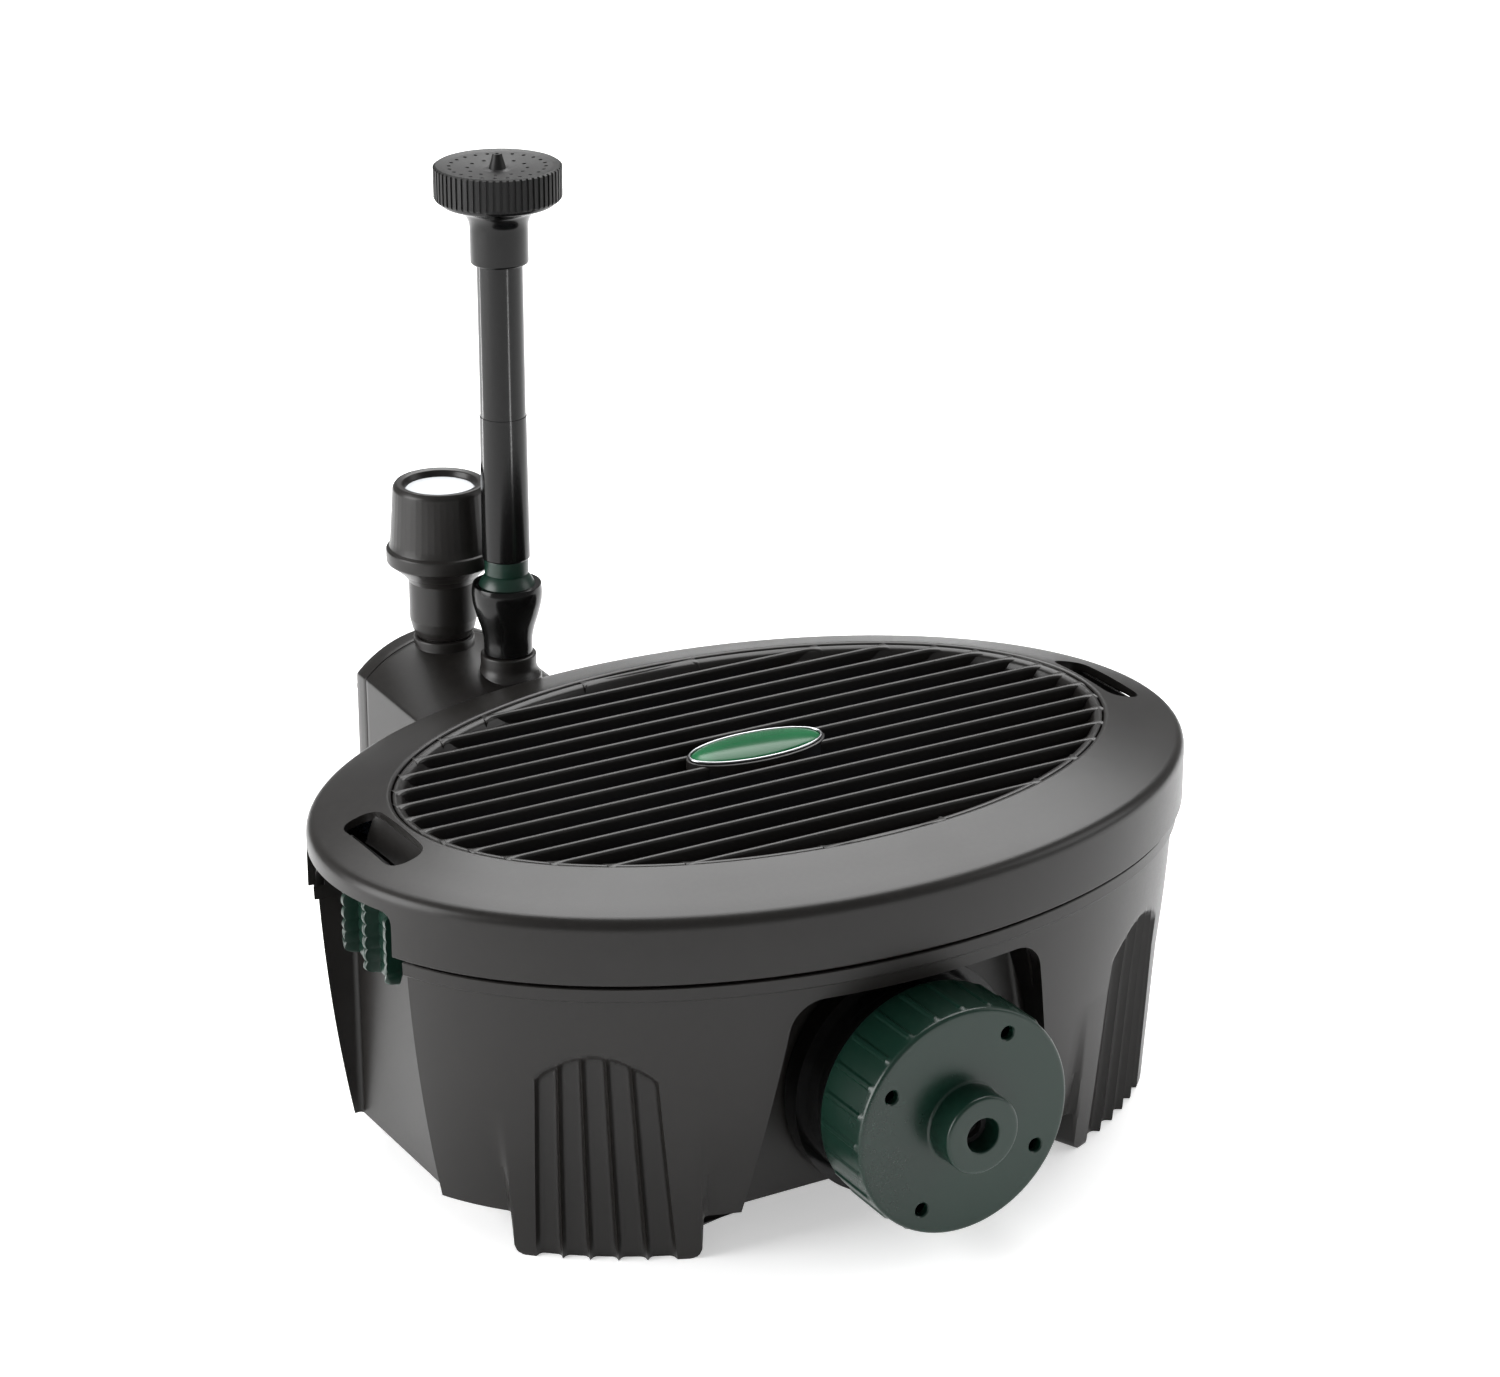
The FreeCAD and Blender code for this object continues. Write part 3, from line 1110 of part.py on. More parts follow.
def build_nozzle():
    """The fountain head: a funnel body and a knurled cap with a central jet."""
    low, band, top = s.nozzle_low, s.nozzle_band_z, s.nozzle_top
    neck = s.nozzle_neck_r
    body = on_riser(turned("nozzle_body_shape", [
        (s.tube_r - 0.15, low), (neck - 1.0, low), (neck, low + 2.0), (neck, low + 15.0),
        (neck + 3.0, low + 18.0), (s.nozzle_r - 3.0, band - 3.0), (s.nozzle_r - 2.0, band - 0.3),
        (s.nozzle_r - 4.6, band - 0.3), (s.nozzle_r - 5.0, band - 2.0), (neck - 1.0, low + 18.0),
        (7.0, low + 14.0), (7.0, low + 12.05), (s.tube_r - 0.15, low + 12.05)]))
    node(body, "nozzle_body")
    cap = turned("nozzle_cap_shape", [
        (s.nozzle_r - 2.6, band), (s.nozzle_r - 0.6, band), (s.nozzle_r, band + 1.0),
        (s.nozzle_r, top - 0.8), (s.nozzle_r - 1.2, top), (s.nozzle_r - 4.0, top - 0.6),
        (6.0, top - 2.2), (3.8, top - 1.8), (2.0, top + 4.6), (0.8, top + 4.6), (0.8, top - 4.6),
        (s.nozzle_r - 3.0, top - 3.4), (s.nozzle_r - 2.6, top - 4.0)])
    drill_ring(cap, 0.9, 42.0, 24.0, 8.0, top + 1.0, 0.0)
    drill_ring(cap, 0.9, 26.0, 12.0, 8.0, top + 1.0, 0.0)
    knurl = outline(cap, "XY_Plane", [
        (s.nozzle_r - 0.7, -0.6), (s.nozzle_r + 1.0, -0.6), (s.nozzle_r + 1.0, 0.6),
        (s.nozzle_r - 0.7, 0.6)], top + 1.0)
    groove = cap.newObject("PartDesign::Pocket", "knurl_groove")
    groove.Profile = knurl
    bind(groove, "Length", 20.0)
    repeat(cap, groove, 60.0)
    node(on_riser(cap), "nozzle_cap")


# ------------------------------------------------------------------ spotlight


def on_spot(thing, z=0.0):
    """Stands a piece on the spotlight axis."""
    return place(thing, s.spot_x, s.spot_y, z)


def build_spotlight():
    """Stem, head, lens, reflector, LED board and emitters of the spotlight."""
    seat, low, mid, top = s.spot_seat_z, s.spot_flange_z, s.spot_flange_top, s.spot_top
    thread = 19.4
    stem = turned("spot_stem", [
        (0.0, seat - 12.0), (s.spot_plug_r, seat - 12.0), (s.spot_plug_r, seat + 0.3),
        (s.spot_plug_r + 1.6, seat + 1.2), (s.stem_r - 1.0, seat + 4.5), (s.stem_r, seat + 9.0),
        (s.stem_r, low - 9.0), (s.stem_r + 2.0, low - 6.0), (s.spot_flange_r - 4.6, low - 3.0),
        (s.spot_flange_r - 1.4, low - 0.3), (thread, low - 0.3), (thread, low + 3.5),
        (0.0, low + 3.5)])
    node(on_spot(stem), "spot_body")
    head = turned("spot_head", [
        (thread + 0.1, low), (s.spot_flange_r - 0.6, low), (s.spot_flange_r, low + 1.0),
        (s.spot_flange_r, mid - 0.8), (s.spot_head_r + 0.4, mid), (s.spot_top_r, top - 2.0),
        (s.spot_top_r - 1.5, top), (s.lens_r + 1.0, top - 0.6), (s.lens_r, top - 3.0),
        (s.lens_r, top - 4.0), (s.lens_r + 1.6, top - 4.0), (s.lens_r + 1.6, mid + 6.0),
        (thread + 0.1, mid + 2.0)])
    node(on_spot(head), "spot_bezel")
    lens = turned("spot_lens_shape", [
        (0.0, top - 6.6), (s.lens_r + 1.5, top - 6.6), (s.lens_r + 1.5, top - 4.1),
        (s.lens_r - 0.3, top - 4.1), (s.lens_r - 0.8, top - 3.2), (0.0, top - 2.6)])
    node(on_spot(lens), "spot_lens")
    reflector = turned("reflector_shape", [
        (6.4, low + 7.0), (7.2, low + 7.0), (s.lens_r, top - 7.0), (s.lens_r - 1.2, top - 7.0)])
    node(on_spot(reflector), "spot_reflector")
    node(on_spot(cylinder("board_disc", 17.0, 1.6), low + 3.6), "led_board")
    chips = []
    for i in range(3):
        angle = math.radians(120 * i + 90)
        chip = cone(f"led_{i}", 2.4, 1.6, 1.6)
        chips.append(place(chip, s.spot_x + 3.2 * math.cos(angle), s.spot_y + 3.2 * math.sin(angle),
                           low + 5.25))
    node(group("led_set", *chips), "led_emitters")


# ------------------------------------------------------------------ build, check and write


def build_all():
    """Builds every sub-part in the order it would be put together."""
    build_tub()
    build_chamber()
    node(build_neck_gasket(), "neck_gasket")
    build_uv_inner()
    build_cap()
    build_housing()
    build_pump()
    build_suction_pipe()
    build_media()
    build_lid_rim()
    build_grille()
    build_badge()
    for side, label in ((1, "clip_right"), (-1, "clip_left")):
        build_clip(side, label)
    build_clip_pins()
    build_swivel()
    build_tubes()
    build_nozzle()
    build_spotlight()


def check_and_write():
    """Stops on any failed object or bad shape, then writes one file per sub-part."""
    doc.recompute()
    bad = [o.Label for o in doc.Objects if "Invalid" in o.State or "Error" in o.State]
    bad += [n.Label for n in nodes if n.Shape.isNull() or not n.Shape.isValid()]
    if bad:
        raise RuntimeError("failed: " + ", ".join(bad))
    for part in nodes:
        part.Shape.exportStep(os.path.join("parts", part.Label + ".step"))
        print(f"{part.Label}: {len(part.Shape.Solids)} solid, {part.Shape.Volume / 1000:.1f} cm3")


build_all()
check_and_write()
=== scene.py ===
"""Looks of an in-pond filter: oval tub, slatted lid, UV clarifier, pump housing, fountain and lamp.

Shapes are worked out in millimetres and stored in metres in the row frame.  Pieces stand about
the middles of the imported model's boxes, and heights are stated above the ground.
"""

import json
import logging
import math
from collections.abc import Callable, Sequence
from dataclasses import dataclass
from enum import Enum

import bmesh
import bpy
import numpy as np
from mathutils import Euler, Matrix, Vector

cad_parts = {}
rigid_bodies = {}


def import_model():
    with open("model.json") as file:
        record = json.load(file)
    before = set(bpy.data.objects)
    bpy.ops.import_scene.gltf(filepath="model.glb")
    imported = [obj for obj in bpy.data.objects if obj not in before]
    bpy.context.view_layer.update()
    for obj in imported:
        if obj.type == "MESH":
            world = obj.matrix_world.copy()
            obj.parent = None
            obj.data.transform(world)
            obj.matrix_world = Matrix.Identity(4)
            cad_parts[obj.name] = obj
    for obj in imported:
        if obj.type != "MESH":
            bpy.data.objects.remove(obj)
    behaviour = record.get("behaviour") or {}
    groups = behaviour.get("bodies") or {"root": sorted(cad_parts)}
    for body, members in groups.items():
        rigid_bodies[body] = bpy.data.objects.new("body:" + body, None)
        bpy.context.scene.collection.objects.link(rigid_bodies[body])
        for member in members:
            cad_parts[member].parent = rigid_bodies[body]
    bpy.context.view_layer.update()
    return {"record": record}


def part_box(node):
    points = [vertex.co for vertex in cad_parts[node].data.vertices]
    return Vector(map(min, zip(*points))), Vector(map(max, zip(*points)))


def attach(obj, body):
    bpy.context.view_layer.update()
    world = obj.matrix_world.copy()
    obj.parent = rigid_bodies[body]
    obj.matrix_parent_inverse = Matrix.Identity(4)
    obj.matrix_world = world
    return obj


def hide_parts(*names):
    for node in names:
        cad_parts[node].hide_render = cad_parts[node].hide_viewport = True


LOG = logging.getLogger("pond_filter")
MM = 0.001
SIDES = ((1, "right"), (-1, "left"))


# ---------------------------------------------------------------------- shader maths


class Socket:
    """A node socket with Python's operators, each of which adds one Math node."""

    def __init__(self, graph: "Graph", out: bpy.types.NodeSocket) -> None:
        """Wraps one output of a graph."""
        self.graph = graph
        self.out = out

    def _math(self, operation: str, *values: "Socket | float") -> "Socket":
        """Adds a Math node.

        Args:
            operation: the node's operation.
            values: its inputs, numbers or sockets.

        Returns:
            The node's output.
        """
        inputs = dict(enumerate(values))
        return self.graph.node("ShaderNodeMath", {"operation": operation}, inputs)

    def __add__(self, other: "Socket | float") -> "Socket":
        """self + other."""
        return self._math("ADD", self, other)

    def __sub__(self, other: "Socket | float") -> "Socket":
        """self - other."""
        return self._math("SUBTRACT", self, other)

    def __rsub__(self, other: float) -> "Socket":
        """other - self."""
        return self._math("SUBTRACT", other, self)

    def __mul__(self, other: "Socket | float") -> "Socket":
        """self * other."""
        return self._math("MULTIPLY", self, other)

    __radd__ = __add__
    __rmul__ = __mul__

    def clamped(self) -> "Socket":
        """The value held between 0 and 1."""
        return self._math("MAXIMUM", self._math("MINIMUM", self, 1.0), 0.0)

    def part(self, name: str) -> "Socket":
        """Another output of the same node."""
        return Socket(self.graph, self.out.node.outputs[name])


Value = Socket | float
Colour = tuple[float, float, float]


class Graph:
    """One material's node tree."""

    def __init__(self, name: str) -> None:
        """Starts a material with a Principled shader.

        Args:
            name: the material's name.
        """
        self.material = bpy.data.materials.new(name)
        self.material.use_nodes = True
        self.tree = self.material.node_tree
        self.shader = self.tree.nodes["Principled BSDF"]
        self.object = self.node("ShaderNodeTexCoord").part("Object")

    def node(self, kind: str, settings: dict[str, object] | None = None,
             inputs: dict[int | str, object] | None = None) -> Socket:
        """Adds any node.

        Args:
            kind: the node type.
            settings: properties, which are set first.
            inputs: values or links by socket name or number.

        Returns:
            The node's first output that is in use.
        """
        made = self.tree.nodes.new(kind)
        for key, value in (settings or {}).items():
            setattr(made, key, value)
        for key, value in (inputs or {}).items():
            if isinstance(value, Socket):
                self.tree.links.new(value.out, made.inputs[key])
            else:
                made.inputs[key].default_value = value
        return Socket(self, next(out for out in made.outputs if out.enabled))

    def noise(self, scale: float, detail: float = 3.0,
              stretch: Colour = (1.0, 1.0, 1.0)) -> Socket:
        """Soft noise in object space.

        Args:
            scale: how many features to a metre.
            detail: how many finer layers.
            stretch: factors along X, Y and Z.

        Returns:
            A value about 0.5.
        """
        spot = self.node("ShaderNodeMapping", {}, {"Vector": self.object, "Scale": stretch})
        return self.node("ShaderNodeTexNoise", {},
                         {"Vector": spot, "Scale": scale, "Detail": detail})

    def cells(self, scale: float) -> Socket:
        """Distance to the nearest edge of a cell pattern in object space."""
        return self.node("ShaderNodeTexVoronoi", {"feature": "DISTANCE_TO_EDGE"},
                         {"Vector": self.object, "Scale": scale})

    def ramp(self, value: Value, low: float, high: float) -> Socket:
        """A value turned to 0 at one limit and 1 at the other, straight between, held beyond."""
        return self.node("ShaderNodeMapRange", {},
                         {"Value": value, "From Min": low, "From Max": high})

    def blend(self, factor: Value, first: Colour | Socket, second: Colour | Socket) -> Socket:
        """Mixes two colours.

        Args:
            factor: 0 gives the first and 1 the second.
            first: a colour or its socket.
            second: a colour or its socket.

        Returns:
            The mixed colour.
        """
        made = self.tree.nodes.new("ShaderNodeMix")
        made.data_type = "RGBA"
        for slot, value in ((0, factor), (6, first), (7, second)):
            if isinstance(value, Socket):
                self.tree.links.new(value.out, made.inputs[slot])
            else:
                made.inputs[slot].default_value = value if slot == 0 else (*value, 1.0)
        return Socket(self, made.outputs[2])

    def feed(self, name: str, value: Value | Colour) -> None:
        """Sets or links one socket of the shader."""
        if isinstance(value, Socket):
            self.tree.links.new(value.out, self.shader.inputs[name])
        elif isinstance(value, tuple):
            self.shader.inputs[name].default_value = (*value, 1.0)
        else:
            self.shader.inputs[name].default_value = value

    def bump(self, height: Value, depth_mm: float, strength: float = 1.0) -> None:
        """Roughens the surface.

        Args:
            height: 0 at the bottom and 1 at the top of the relief.
            depth_mm: how deep the relief is.
            strength: how much of it shows.
        """
        made = self.node("ShaderNodeBump", {}, {
            "Height": height, "Distance": depth_mm * MM, "Strength": strength})
        self.tree.links.new(made.out, self.shader.inputs["Normal"])


# ---------------------------------------------------------------------- finishes

DUST = (0.20, 0.185, 0.165)


def scaled(colour: Colour, factor: float) -> Colour:
    """A colour times a factor, held at 1."""
    return tuple(min(1.0, c * factor) for c in colour)


@dataclass(frozen=True)
class Moulded:
    """A moulded plastic: fine grain, slight cloudiness and faint dust on upward faces.

    Attributes:
        name: the material's name.
        colour: its colour.
        roughness: its middle roughness.
        grain_mm: depth of the grain.
        dust: how much of the dust's colour shows at most.
        coat: weight of a clear coat.
        cloud: how far the colour varies either way, as a share.
        mirror: strength of its reflections.
    """

    name: str
    colour: Colour
    roughness: float
    grain_mm: float = 0.05
    dust: float = 0.02
    coat: float = 0.0
    cloud: float = 0.14
    mirror: float = 0.36

    def build(self) -> bpy.types.Material:
        """The material: grain in the bump, clouds in colour and gloss, dust by facing upwards."""
        g = Graph(self.name)
        cloud = g.noise(9.0, 4.0)
        speck = g.noise(420.0, 2.0)
        base = g.blend(g.ramp(cloud, 0.35, 0.65), scaled(self.colour, 1.0 - self.cloud),
                       scaled(self.colour, 1.0 + self.cloud))
        facing = g.node("ShaderNodeSeparateXYZ", {}, {
            "Vector": g.node("ShaderNodeNewGeometry").part("Normal")}).part("Z")
        settled = (g.ramp(facing, 0.25, 1.0) * g.ramp(speck * cloud, 0.16, 0.36) * self.dust)
        g.feed("Base Color", g.blend(settled.clamped(), base, DUST))
        g.feed("Roughness", (g.ramp(cloud, 0.3, 0.7) * 0.07 + speck * 0.05
                             + (self.roughness - 0.06)).clamped())
        g.feed("Specular IOR Level", self.mirror)
        g.feed("Coat Weight", self.coat)
        g.feed("Coat Roughness", 0.09)
        g.bump(g.noise(2600.0, 2.0) + g.noise(60.0, 2.0) * 0.6, self.grain_mm, 0.55)
        return g.material


@dataclass(frozen=True)
class Metal:
    """A metal with faint turning lines across its axis."""

    name: str
    colour: Colour
    roughness: float

    def build(self) -> bpy.types.Material:
        """The material: stretched noise varies gloss and relief."""
        g = Graph(self.name)
        streak = g.noise(240.0, 3.0, (1.0, 1.0, 30.0))
        g.feed("Metallic", 1.0)
        g.feed("Base Color", g.blend(streak, scaled(self.colour, 0.82), self.colour))
        g.feed("Roughness", streak * 0.14 + (self.roughness - 0.05))
        g.bump(streak, 0.01, 0.4)
        return g.material


@dataclass(frozen=True)
class Clear:
    """A clear or faintly tinted solid with slight ripples."""

    name: str
    colour: Colour
    roughness: float
    passing: float
    painted_glow: float = 0.0

    def build(self) -> bpy.types.Material:
        """The material: transmission with a faint ripple, and a painted glow, an even emission in
        its own tint that makes it look lit.
        """
        g = Graph(self.name)
        ripple = g.noise(110.0, 2.0)
        tint = g.blend(ripple, scaled(self.colour, 0.95), self.colour)
        g.feed("Base Color", tint)
        g.feed("Roughness", ripple * 0.05 + self.roughness)
        g.feed("Transmission Weight", self.passing)
        g.feed("IOR", 1.49)
        # Painted glow: the glass emits its own tint evenly so that it looks lit; plain glass has
        # none.
        g.feed("Emission Color", tint)
        g.feed("Emission Strength", self.painted_glow)
        g.bump(ripple, 0.02, 0.3)
        return g.material


@dataclass(frozen=True)
class Foam:
    """An open-cell foam: deep round pores, painted dark as the shade inside them, with lighter
    struts between them.
    """

    name: str
    colour: Colour
    pores_per_metre: float

    def build(self) -> bpy.types.Material:
        """The material: a cell pattern sinks the pores and paints shade into them."""
        g = Graph(self.name)
        strut = g.ramp(g.cells(self.pores_per_metre), 0.26, 0.04)
        tint = g.blend(g.noise(30.0), self.colour, scaled(self.colour, 1.35))
        # Painted shade: the pores take 0.18 of the foam's colour as the shade deep inside them, and
        # the struts keep the full colour.
        g.feed("Base Color", g.blend(strut, scaled(self.colour, 0.18), tint))
        g.feed("Roughness", strut * -0.1 + 0.97)
        g.bump(strut, 0.9, 0.9)
        return g.material


@dataclass(frozen=True)
class Stone:
    """A ground ceramic, sintered magnet or cast resin with a fine even speckle."""

    name: str
    colour: Colour
    roughness: float

    def build(self) -> bpy.types.Material:
        """The material: speckle in colour, gloss and relief."""
        g = Graph(self.name)
        speck = g.noise(1500.0, 4.0)
        g.feed("Base Color", g.blend(speck, scaled(self.colour, 0.8), self.colour))
        g.feed("Roughness", speck * 0.15 + (self.roughness - 0.07))
        g.bump(speck, 0.02, 0.5)
        return g.material


FINISHES: dict[str, Moulded | Metal | Clear | Foam | Stone] = {
    "charcoal_plastic": Moulded("satin_charcoal", (0.0090, 0.0081, 0.0075), 0.34, mirror=0.29),
    "black_gloss_plastic": Moulded("gloss_black", (0.003, 0.003, 0.003), 0.13, 0.02, dust=0.0,
                                   mirror=0.26),
    "black_plastic": Moulded("satin_black", (0.0075, 0.0075, 0.0075), 0.42, dust=0.008,
                             mirror=0.24),
    "green_plastic": Moulded("bottle_green", (0.0030, 0.0165, 0.0105), 0.30, 0.04, dust=0.012),
    "badge_green": Moulded("domed_green", (0.006, 0.135, 0.045), 0.20, 0.01, dust=0.0, cloud=0.5,
                           mirror=0.16),
    "badge_silver": Metal("plated_rim", (0.42, 0.43, 0.44), 0.22),
    "black_rubber": Moulded("soft_rubber", (0.012, 0.012, 0.012), 0.72, 0.08, dust=0.05),
    "stainless_steel": Metal("turned_steel", (0.36, 0.355, 0.345), 0.36),
    "potting_resin": Stone("cast_resin", (0.022, 0.022, 0.026), 0.24),
    "ceramic_shaft": Stone("ground_ceramic", (0.84, 0.82, 0.77), 0.2),
    "ferrite_magnet": Stone("sintered_ferrite", (0.055, 0.053, 0.052), 0.55),
    "quartz_glass": Clear("quartz", (0.80, 0.87, 0.91), 0.04, 0.85),
    "lamp_glass": Clear("lamp_tube_glass", (0.66, 0.73, 0.80), 0.10, 0.35),
    "lamp_base_white": Moulded("lamp_base_white", (0.74, 0.73, 0.69), 0.42, dust=0.0),
    "coarse_foam": Foam("coarse_open_foam", (0.030, 0.050, 0.085), 420.0),
    "fine_foam": Foam("fine_open_foam", (0.040, 0.042, 0.046), 900.0),
    "media_plastic": Moulded("media_blue", (0.03, 0.07, 0.22), 0.45, dust=0.0),
    # The lens's last number is a painted glow that makes it look lit.
    "clear_lens": Clear("lens", (0.86, 0.88, 0.90), 0.08, 0.45, 0.12),
    "reflector_silver": Metal("metallised", (0.86, 0.86, 0.87), 0.1),
    "board_white": Moulded("printed_board", (0.72, 0.72, 0.69), 0.4, dust=0.0),
    "led_yellow": Moulded("phosphor", (0.85, 0.68, 0.18), 0.35, dust=0.0, coat=0.4),
}


class Paints:
    """Makes each finish once and hands it out by the record's material slot."""

    def __init__(self) -> None:
        """Starts with nothing made."""
        self.made: dict[str, bpy.types.Material] = {}

    def of(self, slot: str) -> bpy.types.Material:
        """The material of one slot."""
        if slot not in self.made:
            self.made[slot] = FINISHES[slot].build()
        return self.made[slot]


# ---------------------------------------------------------------------- surfaces


class Facing(Enum):
    """Which way the local +Z of a turned piece points."""

    UP = "up"
    FRONT = "front"
    BACK = "back"


@dataclass
class Patch:
    """One grid of points in millimetres, rows by columns.

    Attributes:
        points: array of rows, columns and 3 coordinates; the last column joins the first.
        along: the last row joins the first.
        capped: a single many-sided face closes each end row.
    """

    points: np.ndarray
    along: bool = False
    capped: bool = False

    def faces(self, start: int) -> list[list[int]]:
        """The faces, numbered from a first vertex.

        Args:
            start: how many vertices come before this patch.

        Returns:
            Quads between neighbouring points, and the caps.
        """
        rows, cols = self.points.shape[:2]
        plain = np.arange(rows * cols).reshape(rows, cols) + start
        index = np.vstack([plain, plain[:1]]) if self.along else plain
        index = np.hstack([index, index[:, :1]])
        quads = np.stack([index[:-1, :-1], index[:-1, 1:], index[1:, 1:], index[1:, :-1]], -1)
        caps = [plain[0, ::-1].tolist(), plain[-1].tolist()] if self.capped else []
        return quads.reshape(-1, 4).tolist() + caps


def build_mesh(name: str, patches: Sequence[Patch], sharp: float = 38.0) -> bpy.types.Object:
    """Turns patches into one object at the origin, welded, outward and smooth-shaded.

    Args:
        name: the piece's name.
        patches: its surfaces, in millimetres in the row frame.
        sharp: the angle in degrees above which an edge stays sharp.

    Returns:
        The new object.
    """
    points = np.concatenate([p.points.reshape(-1, 3) for p in patches]) * MM
    faces: list[list[int]] = []
    start = 0
    for patch in patches:
        faces += patch.faces(start)
        start += patch.points.shape[0] * patch.points.shape[1]
    mesh = bpy.data.meshes.new(name)
    mesh.from_pydata(points, [], faces)
    work = bmesh.new()
    work.from_mesh(mesh)
    bmesh.ops.remove_doubles(work, verts=work.verts, dist=2e-6)
    bmesh.ops.dissolve_degenerate(work, edges=work.edges, dist=1e-6)
    bmesh.ops.recalc_face_normals(work, faces=work.faces)
    work.to_mesh(mesh)
    work.free()
    mesh.shade_smooth()
    mesh.set_sharp_from_angle(angle=math.radians(sharp))
    made = bpy.data.objects.new(name, mesh)
    bpy.context.scene.collection.objects.link(made)
    return made


def soften(points: Sequence[tuple[float, float]], radii: Sequence[float], closed: bool = True,
           steps: int = 5) -> np.ndarray:
    """Rounds the corners of a flat path.

    Each corner becomes a curve from a point one radius back to a point one radius on, bent
    by the square weights (1-t)^2, 2t(1-t), t^2 of those points and the corner.

    Args:
        points: the corners.
        radii: how far each corner is cut back, 0 for a sharp one.
        closed: the last corner joins the first.
        steps: points along each rounded corner.

    Returns:
        The rounded path as an array of pairs.
    """
    corners = np.array(points, float)
    count = len(corners)
    t = np.linspace(0.0, 1.0, steps + 1)[:, None]
    out = []
    for i, (corner, radius) in enumerate(zip(corners, radii)):
        open_end = not closed and i in (0, count - 1)
        if radius <= 0.0 or open_end:
            out.append(corner[None])
            continue
        before = corners[i - 1] - corner
        after = corners[(i + 1) % count] - corner
        reach_b, reach_a = np.linalg.norm(before), np.linalg.norm(after)
        cut = min(radius, reach_b * 0.49, reach_a * 0.49)
        p, q = corner + before / reach_b * cut, corner + after / reach_a * cut
        out.append((1 - t) ** 2 * p + 2 * t * (1 - t) * corner + t ** 2 * q)
    return np.concatenate(out)


Ripple = Callable[[np.ndarray, np.ndarray, np.ndarray], np.ndarray]


def full_turn(count: int) -> np.ndarray:
    """Evenly spaced angles of one turn, as a row."""
    return np.linspace(0.0, 2 * math.pi, count, endpoint=False)[None, :]


@dataclass
class Axis:
    """The axis that a turned piece is made about.

    Attributes:
        x: place along X in millimetres.
        y: place along Y.
        z: place along Z.
        facing: where local +Z points.
    """

    x: float
    y: float
    z: float = 0.0
    facing: Facing = Facing.UP

    def stand(self, local: np.ndarray) -> np.ndarray:
        """Moves points from the axis' own frame to the row frame."""
        a, b, c = local[..., 0], local[..., 1], local[..., 2]
        turned = {
            Facing.UP: (a, b, c),
            Facing.FRONT: (a, -c, b),
            Facing.BACK: (a, c, -b),
        }[self.facing]
        return np.stack(turned, -1) + np.array([self.x, self.y, self.z])

    def turn(self, profile: np.ndarray, around: int = 96, ripple: Ripple | None = None,
             closed: bool = True) -> Patch:
        """Revolves a profile: x = r cos(angle), y = r sin(angle), z = height.

        Args:
            profile: pairs of radius and height.
            around: columns round the axis.
            ripple: extra radius from (angle, radius, height).
            closed: the profile is a loop.

        Returns:
            The surface.
        """
        angle = full_turn(around)
        radius = profile[:, :1] + 0.0 * angle
        height = profile[:, 1:2] + 0.0 * angle
        angle = angle + 0.0 * radius
        if ripple is not None:
            radius = radius + ripple(angle, radius, height)
        local = np.stack([radius * np.cos(angle), radius * np.sin(angle), height], -1)
        return Patch(self.stand(local), along=closed)


def extrude(outline: np.ndarray, axis: int, low: float, high: float) -> Patch:
    """Carries a flat outline along one axis.

    Args:
        outline: points in the other two coordinates.
        axis: 0, 1 or 2 for X, Y or Z.
        low: where it starts.
        high: where it ends.

    Returns:
        The closed surface.
    """
    return Patch(np.stack([np.insert(outline, axis, v, 1) for v in (low, high)]), capped=True)


def smoothstep(t: np.ndarray) -> np.ndarray:
    """3t^2 - 2t^3 with t held between 0 and 1."""
    t = np.clip(t, 0.0, 1.0)
    return t * t * (3.0 - 2.0 * t)


@dataclass
class Assembly:
    """What every sub-assembly shares: its paints and a way to place its pieces."""

    paints: Paints

    def __post_init__(self) -> None:
        """Finds the tub's middle."""
        self.centre_y = self.middle("lid_rim")[1]

    def middle(self, node: str) -> tuple[float, float, float]:
        """The middle of a node's box in millimetres."""
        low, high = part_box(node)
        return tuple((low[i] + high[i]) / 2 / MM for i in range(3))

    def make(self, name: str, patches: Sequence[Patch], sharp: float, body: str, slot: str,
             *nodes: str) -> None:
        """Builds a piece and settles it; the arguments are those of build_mesh and settle."""
        self.settle(build_mesh(name, patches, sharp), body, slot, *nodes)

    def settle(self, piece: bpy.types.Object, body: str, slot: str, *nodes: str) -> None:
        """Paints a piece, rides it on its body and lets it stand for CAD nodes.

        Args:
            piece: the new object.
            body: the body it moves with.
            slot: the record's material slot.
            nodes: the CAD nodes it stands for.
        """
        piece.data.materials.clear()
        piece.data.materials.append(self.paints.of(slot))
        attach(piece, body)
        if nodes:
            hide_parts(*nodes)
        LOG.info("%s on %s: %d faces", piece.name, body, len(piece.data.polygons))


# ---------------------------------------------------------------------- UV clarifier


